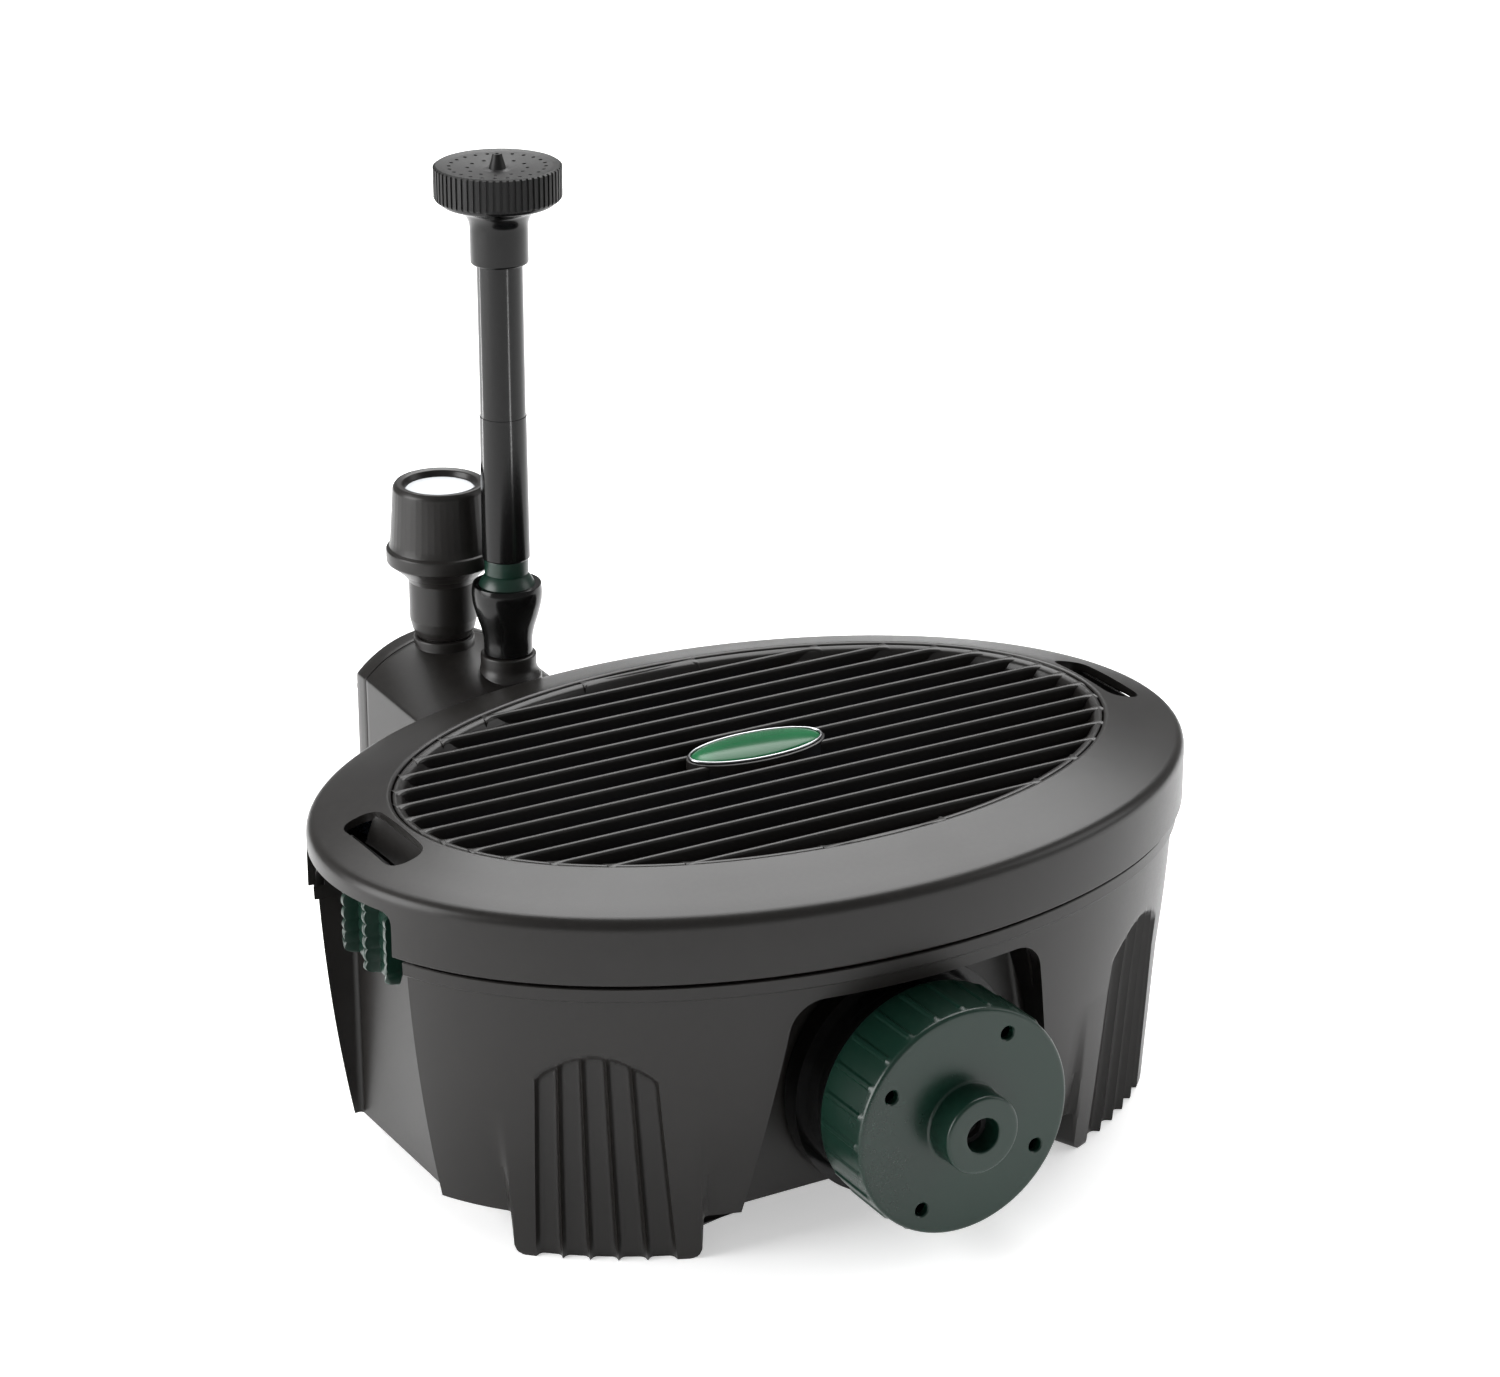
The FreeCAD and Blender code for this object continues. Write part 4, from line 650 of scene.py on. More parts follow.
@dataclass
class ClarifierCap(Assembly):
    """The screw cap of the UV clarifier, with depths measured forward of the tub's middle.

    Attributes:
        radius: outside of the skirt between its ribs.
        face: depth of the front face.
        back: depth of the skirt's rear edge.
        bore: radius inside the skirt.
        hub_radius: outside of the hub.
        hub_height: how far the hub stands off the face.
        hub_bore: radius of the cable's hole.
        gland_seat: radius of the step that holds the cable gland.
        ribs: raised grip ribs round the skirt.
        holes: spanner holes in the face.
        hole_radius: their radius.
        hole_ring: the radius that they stand on.
        hole_turn: the first one's place, in degrees.
    """

    radius: float = 49.5
    face: float = 167.0
    back: float = 136.0
    bore: float = 46.85
    hub_radius: float = 17.0
    hub_height: float = 13.8
    hub_bore: float = 7.5
    gland_seat: float = 9.5
    ribs: int = 24
    holes: int = 4
    hole_radius: float = 3.0
    hole_ring: float = 40.0
    hole_turn: float = 60.3

    def rib_height(self, angle: np.ndarray, radius: np.ndarray, height: np.ndarray) -> np.ndarray:
        """Raised ribs: 0.8 mm times a narrow bell of the angle, on the skirt only."""
        pitch = 2 * math.pi / self.ribs
        near = np.abs((angle + pitch / 2) % pitch - pitch / 2) * self.radius
        on_skirt = ((radius > self.radius - 1.2) & (height < self.face - 3.0)
                    & (height > self.back + 1.2))
        return 0.8 * smoothstep((1.5 - near) / 0.9) * on_skirt

    def build(self) -> None:
        """Makes the cap: a ribbed skirt, a flat face and a stepped hub, then drills the holes."""
        x, _, z = self.middle("uv_cap")
        axis = Axis(x, self.centre_y, z, Facing.FRONT)
        face, top = self.face, self.face + self.hub_height
        corners = [
            (self.hub_bore, top), (self.hub_radius, top), (self.hub_radius, face),
            (self.radius, face), (self.radius, face - 4.0), (self.radius - 0.1, self.back + 8.0),
            (self.radius - 0.2, self.back), (self.bore, self.back), (self.bore, face - 3.5),
            (self.gland_seat, face - 3.5), (self.gland_seat, face + 3.8),
            (self.hub_bore, face + 3.8)]
        radii = [0.9, 1.6, 1.4, 2.2, 0.4, 0.3, 0.5, 0.3, 1.0, 0.2, 0.1, 0.2]
        profile = soften(corners, radii, steps=6)
        rows = self._densify(profile, 2.2)
        cap = build_mesh("uv_cap_shell", [axis.turn(rows, 384, self.rib_height)], 32.0)
        carve(cap, [self._hole(axis, i) for i in range(self.holes)])
        self.settle(cap, "cap", "green_plastic", "uv_cap")

    def _densify(self, profile: np.ndarray, step: float) -> np.ndarray:
        """Adds points so that no side of a closed profile is longer than a step."""
        after = np.roll(profile, -1, 0)
        out = []
        for p, q in zip(profile, after):
            pieces = max(1, int(np.ceil(np.linalg.norm(q - p) / step)))
            share = np.linspace(0.0, 1.0, pieces, endpoint=False)[:, None]
            out.append(p + (q - p) * share)
        return np.concatenate(out)

    def _hole(self, axis: Axis, number: int) -> bpy.types.Object:
        """One spanner hole's drill, with a countersunk mouth."""
        angle = math.radians(self.hole_turn + 360.0 / self.holes * number)
        dx, dy = self.hole_ring * math.cos(angle), self.hole_ring * math.sin(angle)
        drill = Axis(axis.x + dx, axis.y, axis.z + dy, Facing.FRONT)
        face, radius = self.face, self.hole_radius
        profile = np.array([(0.0, face - 8.0), (radius, face - 8.0), (radius, face - 0.5),
                            (radius + 0.7, face + 0.2), (radius + 0.7, face + 2.0),
                            (0.0, face + 2.0)])
        return build_mesh(f"drill_{number}", [drill.turn(profile, 32, closed=False)])


def carve(piece: bpy.types.Object, cutters: Sequence[bpy.types.Object],
          sharp: float = 32.0) -> None:
    """Cuts closed tools out of a piece and keeps the result as its mesh.

    Args:
        piece: what is cut.
        cutters: closed tools, which are removed afterwards.
        sharp: the angle above which an edge stays sharp.
    """
    for cutter in cutters:
        step = piece.modifiers.new("cut", "BOOLEAN")
        step.operation = "DIFFERENCE"
        step.solver = "EXACT"
        step.object = cutter
    bpy.context.view_layer.update()
    seen = piece.evaluated_get(bpy.context.evaluated_depsgraph_get())
    mesh = bpy.data.meshes.new_from_object(seen)
    piece.modifiers.clear()
    piece.data = mesh
    mesh.shade_smooth()
    mesh.set_sharp_from_angle(angle=math.radians(sharp))
    for cutter in cutters:
        bpy.data.objects.remove(cutter)


# ---------------------------------------------------------------------- tub


@dataclass
class Tub(Assembly):
    """The oval tub: tapered wall, end notches, front recess, lip, upstand and fluted feet.

    Attributes:
        floor: underside of the tub.
        top: top of the outer wall.
        half_x: half length at the floor, at 75 mm and at the top.
        half_y: half width at the same heights.
        notch_x: back wall of the end notches.
        notch_half: their half width.
        recess_y: floor of the front recess, in front of the tub's middle.
        recess_top: its upper edge.
        foot_angle: where the feet stand on the oval, in radians from X.
        foot_speed: millimetres along the wall to a radian at a foot.
        foot_half: half width of a foot.
        flute_top: how high the middle flute reaches.
        flute_pitch: spacing of the flutes at the ground.
    """

    floor: float = 18.0
    top: float = 127.5
    half_x: tuple[float, float, float] = (184.0, 192.0, 196.0)
    half_y: tuple[float, float, float] = (127.5, 135.0, 138.0)
    notch_x: float = 170.0
    notch_half: float = 42.0
    recess_y: float = 110.0
    recess_top: float = 115.0
    foot_angle: float = math.radians(46.7)
    foot_speed: float = 167.0
    foot_half: float = 40.0
    flute_top: float = 97.0
    flute_pitch: float = 12.0

    def narrowing(self, z: np.ndarray | float) -> np.ndarray:
        """How much closer together the flutes are at a height: a fifth at their top."""
        return 1.0 - 0.2 * np.clip(z, 0.0, self.flute_top) / self.flute_top

    def columns(self, start: float, end: float, feet: Sequence[float], level: float) -> np.ndarray:
        """Angles along a stretch of wall, with columns that run with the flutes at each foot.

        A column within 30 mm of a foot's middle is drawn in with the flutes; from there to
        49 mm it eases back to its own place.

        Args:
            start: first angle.
            end: last angle.
            feet: angles of the feet on this stretch.
            level: height of the row.

        Returns:
            Angles.
        """
        near = np.concatenate([[-49.0, -45.5, -43.5], np.arange(-42.0, 42.5), [43.5, 45.5, 49.0]])
        drawn = np.interp(np.abs(near), [0.0, 30.0, 49.0],
                          [0.0, 30.0 * self.narrowing(level), 49.0])
        drawn = np.sign(near) * drawn / self.foot_speed
        path, at, count, skip = [], start, 9, 0
        for foot in feet:
            path += [np.linspace(at, foot + drawn[0], count)[skip:-1], foot + drawn]
            at, count, skip = foot + drawn[-1], 30, 1
        return np.concatenate([*path, np.linspace(at, end, 8)[1:]])

    def axes(self, z: np.ndarray) -> tuple[np.ndarray, np.ndarray]:
        """Half axes at a height: the parabola through three known heights.

        Args:
            z: heights.

        Returns:
            Half length and half width.
        """
        z = np.clip(z, 0.0, self.top)
        p, q, r = self.floor, 75.0, self.top
        low = (z - q) * (z - r) / ((p - q) * (p - r))
        mid = (z - p) * (z - r) / ((q - p) * (q - r))
        high = (z - p) * (z - q) / ((r - p) * (r - q))
        return tuple(low * v[0] + mid * v[1] + high * v[2] for v in (self.half_x, self.half_y))

    def recess_half(self, z: float, grow: float) -> float:
        """Half width of the recess: a straight taper with its upper corners rounded at 12 mm."""
        line = 78.0 - 20.0 * (z + 1.0) / 116.0 + grow
        up = min(max(z - (self.recess_top + grow - 12.0), 0.0), 12.0)
        return line - (12.0 - math.sqrt(144.0 - up * up))

    def along_foot(self, angle: np.ndarray) -> np.ndarray:
        """Distance along the wall from the middle of the nearest foot."""
        fold = np.arctan2(np.abs(np.sin(angle)), np.abs(np.cos(angle)))
        return (fold - self.foot_angle) * self.foot_speed

    def lowest(self, angle: np.ndarray) -> np.ndarray:
        """Lower edge of the wall: the ground under a foot with 5 mm corners, else the floor."""
        reach = np.abs(self.along_foot(angle))
        rise = np.clip(reach - (self.foot_half - 5.0), 0.0, 5.0)
        return np.where(reach < self.foot_half + 0.3, 5.0 - np.sqrt(25.0 - rise ** 2), self.floor)

    def relief(self, angle: np.ndarray, z: np.ndarray) -> np.ndarray:
        """How far the wall stands out at a foot, less its flutes.

        The foot is the straight taper 186.6 + 0.07 z less the wall's own half length, held
        between 0 and 6 mm.  Each flute is 3.4 mm deep and 1 - |2 off|^6 across, where off is
        the place between two ribs, and all end at one arch.

        Args:
            angle: places on the oval.
            z: heights.

        Returns:
            Distance outwards.
        """
        reach = self.along_foot(angle)
        proud = np.clip(186.6 + 0.07 * z - self.axes(z)[0], 0.0, 6.0)
        flank = 1.2 + 0.06 * z
        proud = proud * smoothstep((self.foot_half + flank - np.abs(reach)) / flank)
        pitch = self.flute_pitch * self.narrowing(z)
        lane = np.round(np.clip(reach / pitch, -2.0, 2.0))
        off = np.clip(np.abs(reach / pitch - lane), 0.0, 0.5)
        top = self.flute_top - 1.9 * (reach / pitch) ** 2
        inside = np.abs(reach / pitch) < 2.5
        return proud - 3.4 * inside * smoothstep((top - z) / 4.5) * (1.0 - (2.0 * off) ** 6)

    def arc(self, start: float, end: float, feet: Sequence[float], level: float,
            out: float, raised: bool) -> np.ndarray:
        """One stretch of the oval wall.

        Args:
            start: its first angle.
            end: its last angle.
            feet: angles of the feet on it.
            level: its height; where the wall ends higher up, its lower edge.
            out: how far outside the wall it runs.
            raised: feet and flutes are added.

        Returns:
            Points in the tub's own frame.
        """
        angle = self.columns(start, end, feet, level)
        z = np.maximum(level, self.lowest(angle))
        a, b = self.axes(z)
        cos, sin = np.cos(angle), np.sin(angle)
        push = out + (self.relief(angle, z) if raised else 0.0)
        normal = np.stack([cos * b, sin * a], -1)
        normal /= np.linalg.norm(normal, axis=-1, keepdims=True)
        flat = np.stack([a * cos, b * sin], -1) + normal * np.reshape(push, (-1, 1))
        return np.column_stack([flat, z])

    def loop(self, level: float, out: float = 0.0, grow: float = 0.0, recess: bool = True,
             raised: bool = True) -> np.ndarray:
        """A whole level section, anticlockwise from the right notch.

        Args:
            level: see arc.
            out: how far outside the wall it runs.
            grow: how much wider the notches and the recess are.
            recess: the front recess is cut at this level.
            raised: see arc.

        Returns:
            Its points.
        """
        z = max(level, self.floor)
        a, b = (float(v) + out for v in self.axes(np.array(z)))
        half = self.notch_half + grow
        corner = math.asin(half / b)
        edge_x = a * math.cos(corner)
        inner_x = self.notch_x - grow
        notch = soften([(edge_x, -half), (inner_x, -half), (inner_x, half), (edge_x, half)],
                       [0.0, 2.5, 2.5, 0.0], False, 4)
        notch = np.column_stack([notch, np.full(len(notch), z)])
        wide = self.recess_half(min(z, self.recess_top + grow), grow)
        front_y = -b * math.sqrt(1.0 - (wide / a) ** 2)
        floor_y = -self.recess_y + grow
        dent = soften([(-wide, front_y), (-wide, floor_y), (wide, floor_y), (wide, front_y)],
                      [0.0, 3.5, 3.5, 0.0], False, 4)
        middle = np.linspace(-wide + 4.0, wide - 4.0, 24)
        level_run = np.column_stack([middle, np.full(24, floor_y)])
        dent = np.vstack([dent[:6], level_run, dent[6:]])
        if not recess:
            dent[:, 1] = -b * np.sqrt(1.0 - (dent[:, 0] / a) ** 2)
        dent = np.column_stack([dent, np.full(len(dent), z)])
        dip = math.asin(wide / a)
        rest = (level, out, raised)
        foot = self.foot_angle
        rear = self.arc(corner, math.pi - corner, (foot, math.pi - foot), *rest)
        left = self.arc(math.pi + corner, 1.5 * math.pi - dip, (math.pi + foot,), *rest)
        right = self.arc(corner, math.pi / 2 - dip, (foot,), *rest)[::-1] * (1.0, -1.0, 1.0)
        far = notch * np.array([-1.0, -1.0, 1.0])
        path = np.vstack([rear, far[1:-1], left, dent[1:-1], right, notch[1:-1]])
        return path + np.array([0.0, self.centre_y, 0.0])

    def build(self) -> None:
        """Makes the tub: its floor, out under the feet, up the wall, over and down inside."""
        rows = [self.loop(self.floor, -16.5, 16.5, raised=False),
                self.loop(0.0, -16.0, 16.0, raised=False),
                self.loop(0.0, -0.9, 0.9), self.loop(0.0, -0.25, 0.25), self.loop(0.9)]
        rows += [self.loop(level) for level in np.linspace(2.0, self.floor, 12)]
        rows += [self.loop(level) for level in np.linspace(self.floor + 1.0, 102.0, 62)]
        rows += [self.loop(level) for level in (103.5, 105.5, 107.5, 109.5, 111.5, 113.0,
                                                114.2, 114.8, 115.0)]
        rows += [self.loop(level, recess=False) for level in (115.0, 118.0, 121.4)]
        rim = [(121.5, 1.5), (121.9, 1.8), (127.1, 1.8), (127.5, 1.4), (127.5, -2.7), (127.8, -3.0),
               (147.4, -3.0), (148.0, -3.5), (148.0, -5.5), (147.4, -6.0), (119.0, -6.0)]
        rows += [self.loop(z, out, 0.0 if out > -3.2 else 3.0, recess=False) for z, out in rim]
        rows += [self.loop(z, -6.0, 3.0, raised=False) for z in (117.0, 60.0, 21.0)]
        self.make("tub_wall", [Patch(np.stack(rows), capped=True)], 30.0,
                  "base", "charcoal_plastic", "tub_shell")


# ---------------------------------------------------------------------- lid


@dataclass
class Lid(Assembly):
    """The crowned lid, its grille, finger slots and badge.

    Attributes:
        half_x: half length at the skirt.
        half_y: half width at the skirt.
        crown: height of the slats' level.
        slats: number of slats.
        pitch: their spacing.
        slot_x: how far out the finger slots' middles lie.
        slot_half: half sizes of a finger slot.
        cutout_half: half width of the skirt's cutout over a clip.
        grille_half: half axes of the oval that the slats fill.
    """

    half_x: float = 200.0
    half_y: float = 141.5
    crown: float = 166.0
    slats: int = 16
    pitch: float = 13.85
    slot_x: float = 175.5
    slot_half: tuple[float, float] = (8.5, 25.0)
    cutout_half: float = 40.0
    grille_half: tuple[float, float] = (163.4, 105.6)

    def ovals(self, half_x: np.ndarray, half_y: np.ndarray, z: np.ndarray, columns: int,
              along: bool = False) -> Patch:
        """A level oval for each row, (half_x cos angle, half_y sin angle), about the middle.

        Args:
            half_x: half lengths, one to a row.
            half_y: half widths.
            z: heights.
            columns: points round an oval.
            along: the last row joins the first.

        Returns:
            The surface.
        """
        angle = full_turn(columns)
        x, y = half_x * np.cos(angle), half_y * np.sin(angle) + self.centre_y
        return Patch(np.stack([x, y, z + 0.0 * angle], -1), along)

    def band(self, profile: np.ndarray) -> Patch:
        """Carries a closed profile of (distance in from the skirt, height) round the lid.

        The half width shrinks by 0.98 of the distance.
        """
        inward, z = profile[:, :1], profile[:, 1:2]
        return self.ovals(self.half_x - inward, self.half_y - 0.98 * inward, z, 300, True)

    def slot(self, side: int) -> np.ndarray:
        """The round-cornered outline of a finger slot."""
        x, y = self.slot_x * side, self.centre_y
        half_x, half_y = self.slot_half
        corners = [(x - half_x, y - half_y), (x + half_x, y - half_y),
                   (x + half_x, y + half_y), (x - half_x, y + half_y)]
        return soften(corners, [8.0] * 4, steps=8)

    def build_rim(self) -> None:
        """Skirt, rounded shoulder, rising crown, grille seat and the inner skin."""
        corners = [(0, 129.5), (0, 142.0), (0, 156.9), (17.5, 161.6), (34.6, 166.3), (36, 165.6),
                   (36, 156.5), (44, 156.5), (44, 154), (33, 154), (33, 162.2), (5, 154.4),
                   (3, 150), (3, 129.5)]
        radii = [0.7, 0, 4.6, 6.0, 1.1, 0.6, 0.3, 0.4, 0.3, 0, 0.8, 2.0, 1.5, 0.5]
        rim = build_mesh("lid_band", [self.band(soften(corners, radii, steps=7))], 30.0)
        half, tools = self.cutout_half, []
        cutout = soften([(-half, 120.0), (half, 120.0), (half, 148.5), (-half, 148.5)],
                        [0, 0, 6.0, 6.0], steps=6) + np.array([self.centre_y, 0.0])
        for side, tag in SIDES:
            low, high = sorted((188.0 * side, 215.0 * side))
            tools += [build_mesh(f"slot_tool_{tag}", [extrude(self.slot(side), 2, 132.0, 180.0)]),
                      build_mesh(f"cutout_tool_{tag}", [extrude(cutout, 0, low, high)])]
        carve(rim, tools, 30.0)
        self.settle(rim, "lid", "charcoal_plastic", "lid_rim")
        for side, tag in SIDES:
            self.chute(side, tag)

    def chute(self, side: int, tag: str) -> None:
        """The sloping wall on a finger slot's inner side and the short apron on its outer side.

        The sloping wall bends outwards at its ends by the sixth power of the share across.

        Args:
            side: 1 on the right and -1 on the left.
            tag: the side's name.
        """
        across = np.linspace(-1.0, 1.0, 24)[None, :]
        profile = np.array([(165.2, 163.3), (167.4, 162.6), (169.8, 157.0), (171.9, 151.2),
                            (170.1, 151.0), (167.4, 157.6)])
        x = (profile[:, :1] + across ** 6) * side
        y = 23.0 * across + self.centre_y + 0.0 * x
        z = profile[:, 1:2] + 0.0 * across
        grid = np.stack([x, y, z], -1).transpose(1, 0, 2)
        apron = np.array([(184.3, 156.0), (186.0, 155.6), (186.0, 149.6), (184.3, 149.6)])
        apron = extrude(apron * (side, 1), 1, self.centre_y - 24.5, self.centre_y + 24.5)
        self.make(f"slot_chute_{tag}", [Patch(grid, capped=True), apron], 38.0,
                  "lid", "charcoal_plastic")

    def slat(self, y: float) -> Patch:
        """One slat: a round-topped bar whose ends widen into the ring.

        Its width is 2.9 mm plus 7 mm times the cube of the nearness to an end, within 9 mm.

        Args:
            y: its place across the lid.

        Returns:
            The surface.
        """
        reach = self.grille_half[0] * math.sqrt(1.0 - (y / self.grille_half[1]) ** 2) - 0.4
        ease = np.sin(np.linspace(-math.pi / 2, math.pi / 2, 61))[:, None]
        along = reach * ease
        near = np.clip(1.0 - (reach - np.abs(along)) / 9.0, 0.0, 1.0)
        half = (2.9 + 7.0 * near ** 3) / 2
        turn = np.linspace(0.0, math.pi, 9)[None, :]
        top = self.crown - 0.2
        domed_y, domed_z = half * np.cos(turn), top - 1.5 + 1.5 * np.sin(turn) + 0.0 * half
        floor = top - 7.8 + 0.0 * half
        around_y = np.hstack([half, domed_y, -half])
        around_z = np.hstack([floor, domed_z, floor])
        x = along + 0.0 * around_y
        return Patch(np.stack([x, around_y + y + self.centre_y, around_z], -1), capped=True)

    def build_grille(self) -> None:
        """The slats, the ring that they run into and the raised seat of the badge."""
        first = -self.pitch * (self.slats - 1) / 2
        patches = [self.slat(first + self.pitch * i) for i in range(self.slats)]
        ring = soften([(36.6, 157.1), (36.6, 165.4), (38.0, 165.8), (40.6, 164.6), (42.4, 160.5),
                       (49.0, 160.0), (49.0, 157.1)], [0.3, 0.5, 0.6, 1.2, 1.6, 0.4, 0.3])
        patches.append(self.band(ring))
        boss = np.array([(0.0, 158.2), (1.0, 158.2), (1.0, 166.2), (0.97, 166.5), (0.0, 166.5)])
        patches.append(self.disc(boss, 33.0, 15.0, 64))
        self.make("lid_slats", patches, 34.0, "lid", "charcoal_plastic", "lid_grille")

    def disc(self, profile: np.ndarray, half_x: float, half_y: float, columns: int) -> Patch:
        """Turns a profile of (share of the half axes, height) about the lid's middle."""
        share, z = profile[:, :1], profile[:, 1:2]
        return self.ovals(half_x * share, half_y * share, z, columns)

    def build_badge(self) -> None:
        """A plain dome, z = base + 3 (1 - share^2)^0.6, in a rolled bright rim."""
        share = np.linspace(1.0, 0.0, 16)[:, None]
        dome = np.hstack([share, 166.7 + 3.0 * (1.0 - share ** 2) ** 0.6])
        dome = np.vstack([[(0.0, 166.55), (1.0, 166.55)], dome])
        self.make("badge_plain_dome", [self.disc(dome, 30.9, 12.9, 96)], 38.0,
                  "lid", "badge_green", "badge_dome")
        turn = full_turn(14).T
        out, z = 0.6 * np.cos(turn), 167.1 + 0.55 * np.sin(turn)
        ring = self.ovals(31.55 + out, 13.55 + out, z, 96, True)
        self.make("badge_bright_rim", [ring], 38.0, "lid", "badge_silver", "badge_rim")

    def build(self) -> None:
        """Makes the lid's pieces."""
        self.build_rim()
        self.build_grille()
        self.build_badge()


@dataclass
class Clips(Assembly):
    """The two lid clips with their scalloped grips.

    Attributes:
        x: middle plane of a clip.
        half: half width.
        low: lower edge.
        pin_z: height of the pivot.
        scallops: grooves down a grip.
    """

    x: float = 180.5
    half: float = 20.5
    low: float = 103.5
    pin_z: float = 146.0
    scallops: int = 6

    def build(self) -> None:
        """Makes both clips."""
        for side, tag in SIDES:
            self.one(side, tag)

    def one(self, side: int, tag: str) -> None:
        """One clip: a plate with three upright flanges and scalloped grooves between them.

        The face stands at 179.4 + 5.6 f + w (0.5 + 0.6 g), where f is 1 on a flange and 0
        between and fades at both ends, g is 1 on the middle and rear flanges, and w is
        |sin|^0.7 down the grip.

        Args:
            side: 1 on the right and -1 on the left.
            tag: the side's name, which ends the CAD node's name.
        """
        back, centre_y = self.x - 2.5, self.centre_y
        across = np.sort(np.concatenate([np.arange(-self.half, self.half + 0.1, 1.0),
                                         [-18.3, -17.9, -1.3, 1.3, 17.9, 18.3]]))
        flange = sum(smoothstep((1.9 - np.abs(across - at)) / 0.7) for at in (-19.4, 0.0, 19.4))
        flange = np.clip(flange, 0.0, 1.0)[:, None]
        wavy = (across > -10.0)[:, None]
        z = np.linspace(self.low + 0.8, self.pin_z - 8.0, 73)[None, :]
        share = (z - z[:, :1]) / (z[:, -1:] - z[:, :1])
        wave = np.abs(np.sin(share * math.pi * self.scallops)) ** 0.7
        ends = np.clip(np.minimum(share, 1.0 - share) / 0.10, 0.0, 1.0)
        round_ends = np.sqrt(1.0 - (1.0 - ends) ** 2)
        front = 179.4 + 5.6 * flange * round_ends + wave * np.where(wavy & (flange > 0.5), 1.1, 0.5)
        pin, low = self.pin_z, self.low
        rest = soften([(self.x, pin - 5.0), (back, pin - 5.0), (back, low + 14.0),
                       (back - 3.0, low + 11.0), (back - 3.0, low + 8.0),
                       (back, low + 4.0), (self.x - 1.6, low)],
                      [1.0, 1.0, 0.6, 0.7, 0.7, 0.8, 0.6])
        columns = len(across)
        x = np.hstack([front, np.tile(rest[:, 0], (columns, 1))])
        height = np.hstack([np.tile(z, (columns, 1)), np.tile(rest[:, 1], (columns, 1))])
        edge = np.clip(np.abs(across) - (self.half - 6.0), 0.0, 6.0)
        lift = (6.0 - np.sqrt(36.0 - edge ** 2))[:, None]
        base = low + 16.0
        height = np.where(height < base, base - (base - height) * (base - low - lift)
                          / (base - low), height)
        y = across[:, None] + centre_y + 0.0 * x
        patches = [Patch(np.stack([x * side, y, height], -1), capped=True)]
        for start in (-self.half, self.half - 9.0):
            axis = Axis(self.x * side, centre_y + start, self.pin_z, Facing.BACK)
            barrel = soften([(1.6, 0.0), (3.0, 0.0), (3.0, 9.0), (1.6, 9.0)], [0.1, 0.5, 0.5, 0.1])
            patches.append(axis.turn(barrel, 40))
            arm = soften([(self.x + 2.1, pin - 7.0), (self.x + 2.1, pin - 0.9),
                          (self.x + 1.5, pin - 1.8), (back + 1.0, pin - 1.8),
                          (back + 0.4, pin - 0.9), (back + 0.4, pin - 7.0)], [0.2] * 6)
            patches.append(extrude(arm * (side, 1), 1, centre_y + start + 0.3,
                                   centre_y + start + 8.7))
        self.make(f"clip_{tag}_grip", patches, 34.0, f"{tag}_clip", "green_plastic",
                  f"clip_{tag}")


# ---------------------------------------------------------------------- pump housing


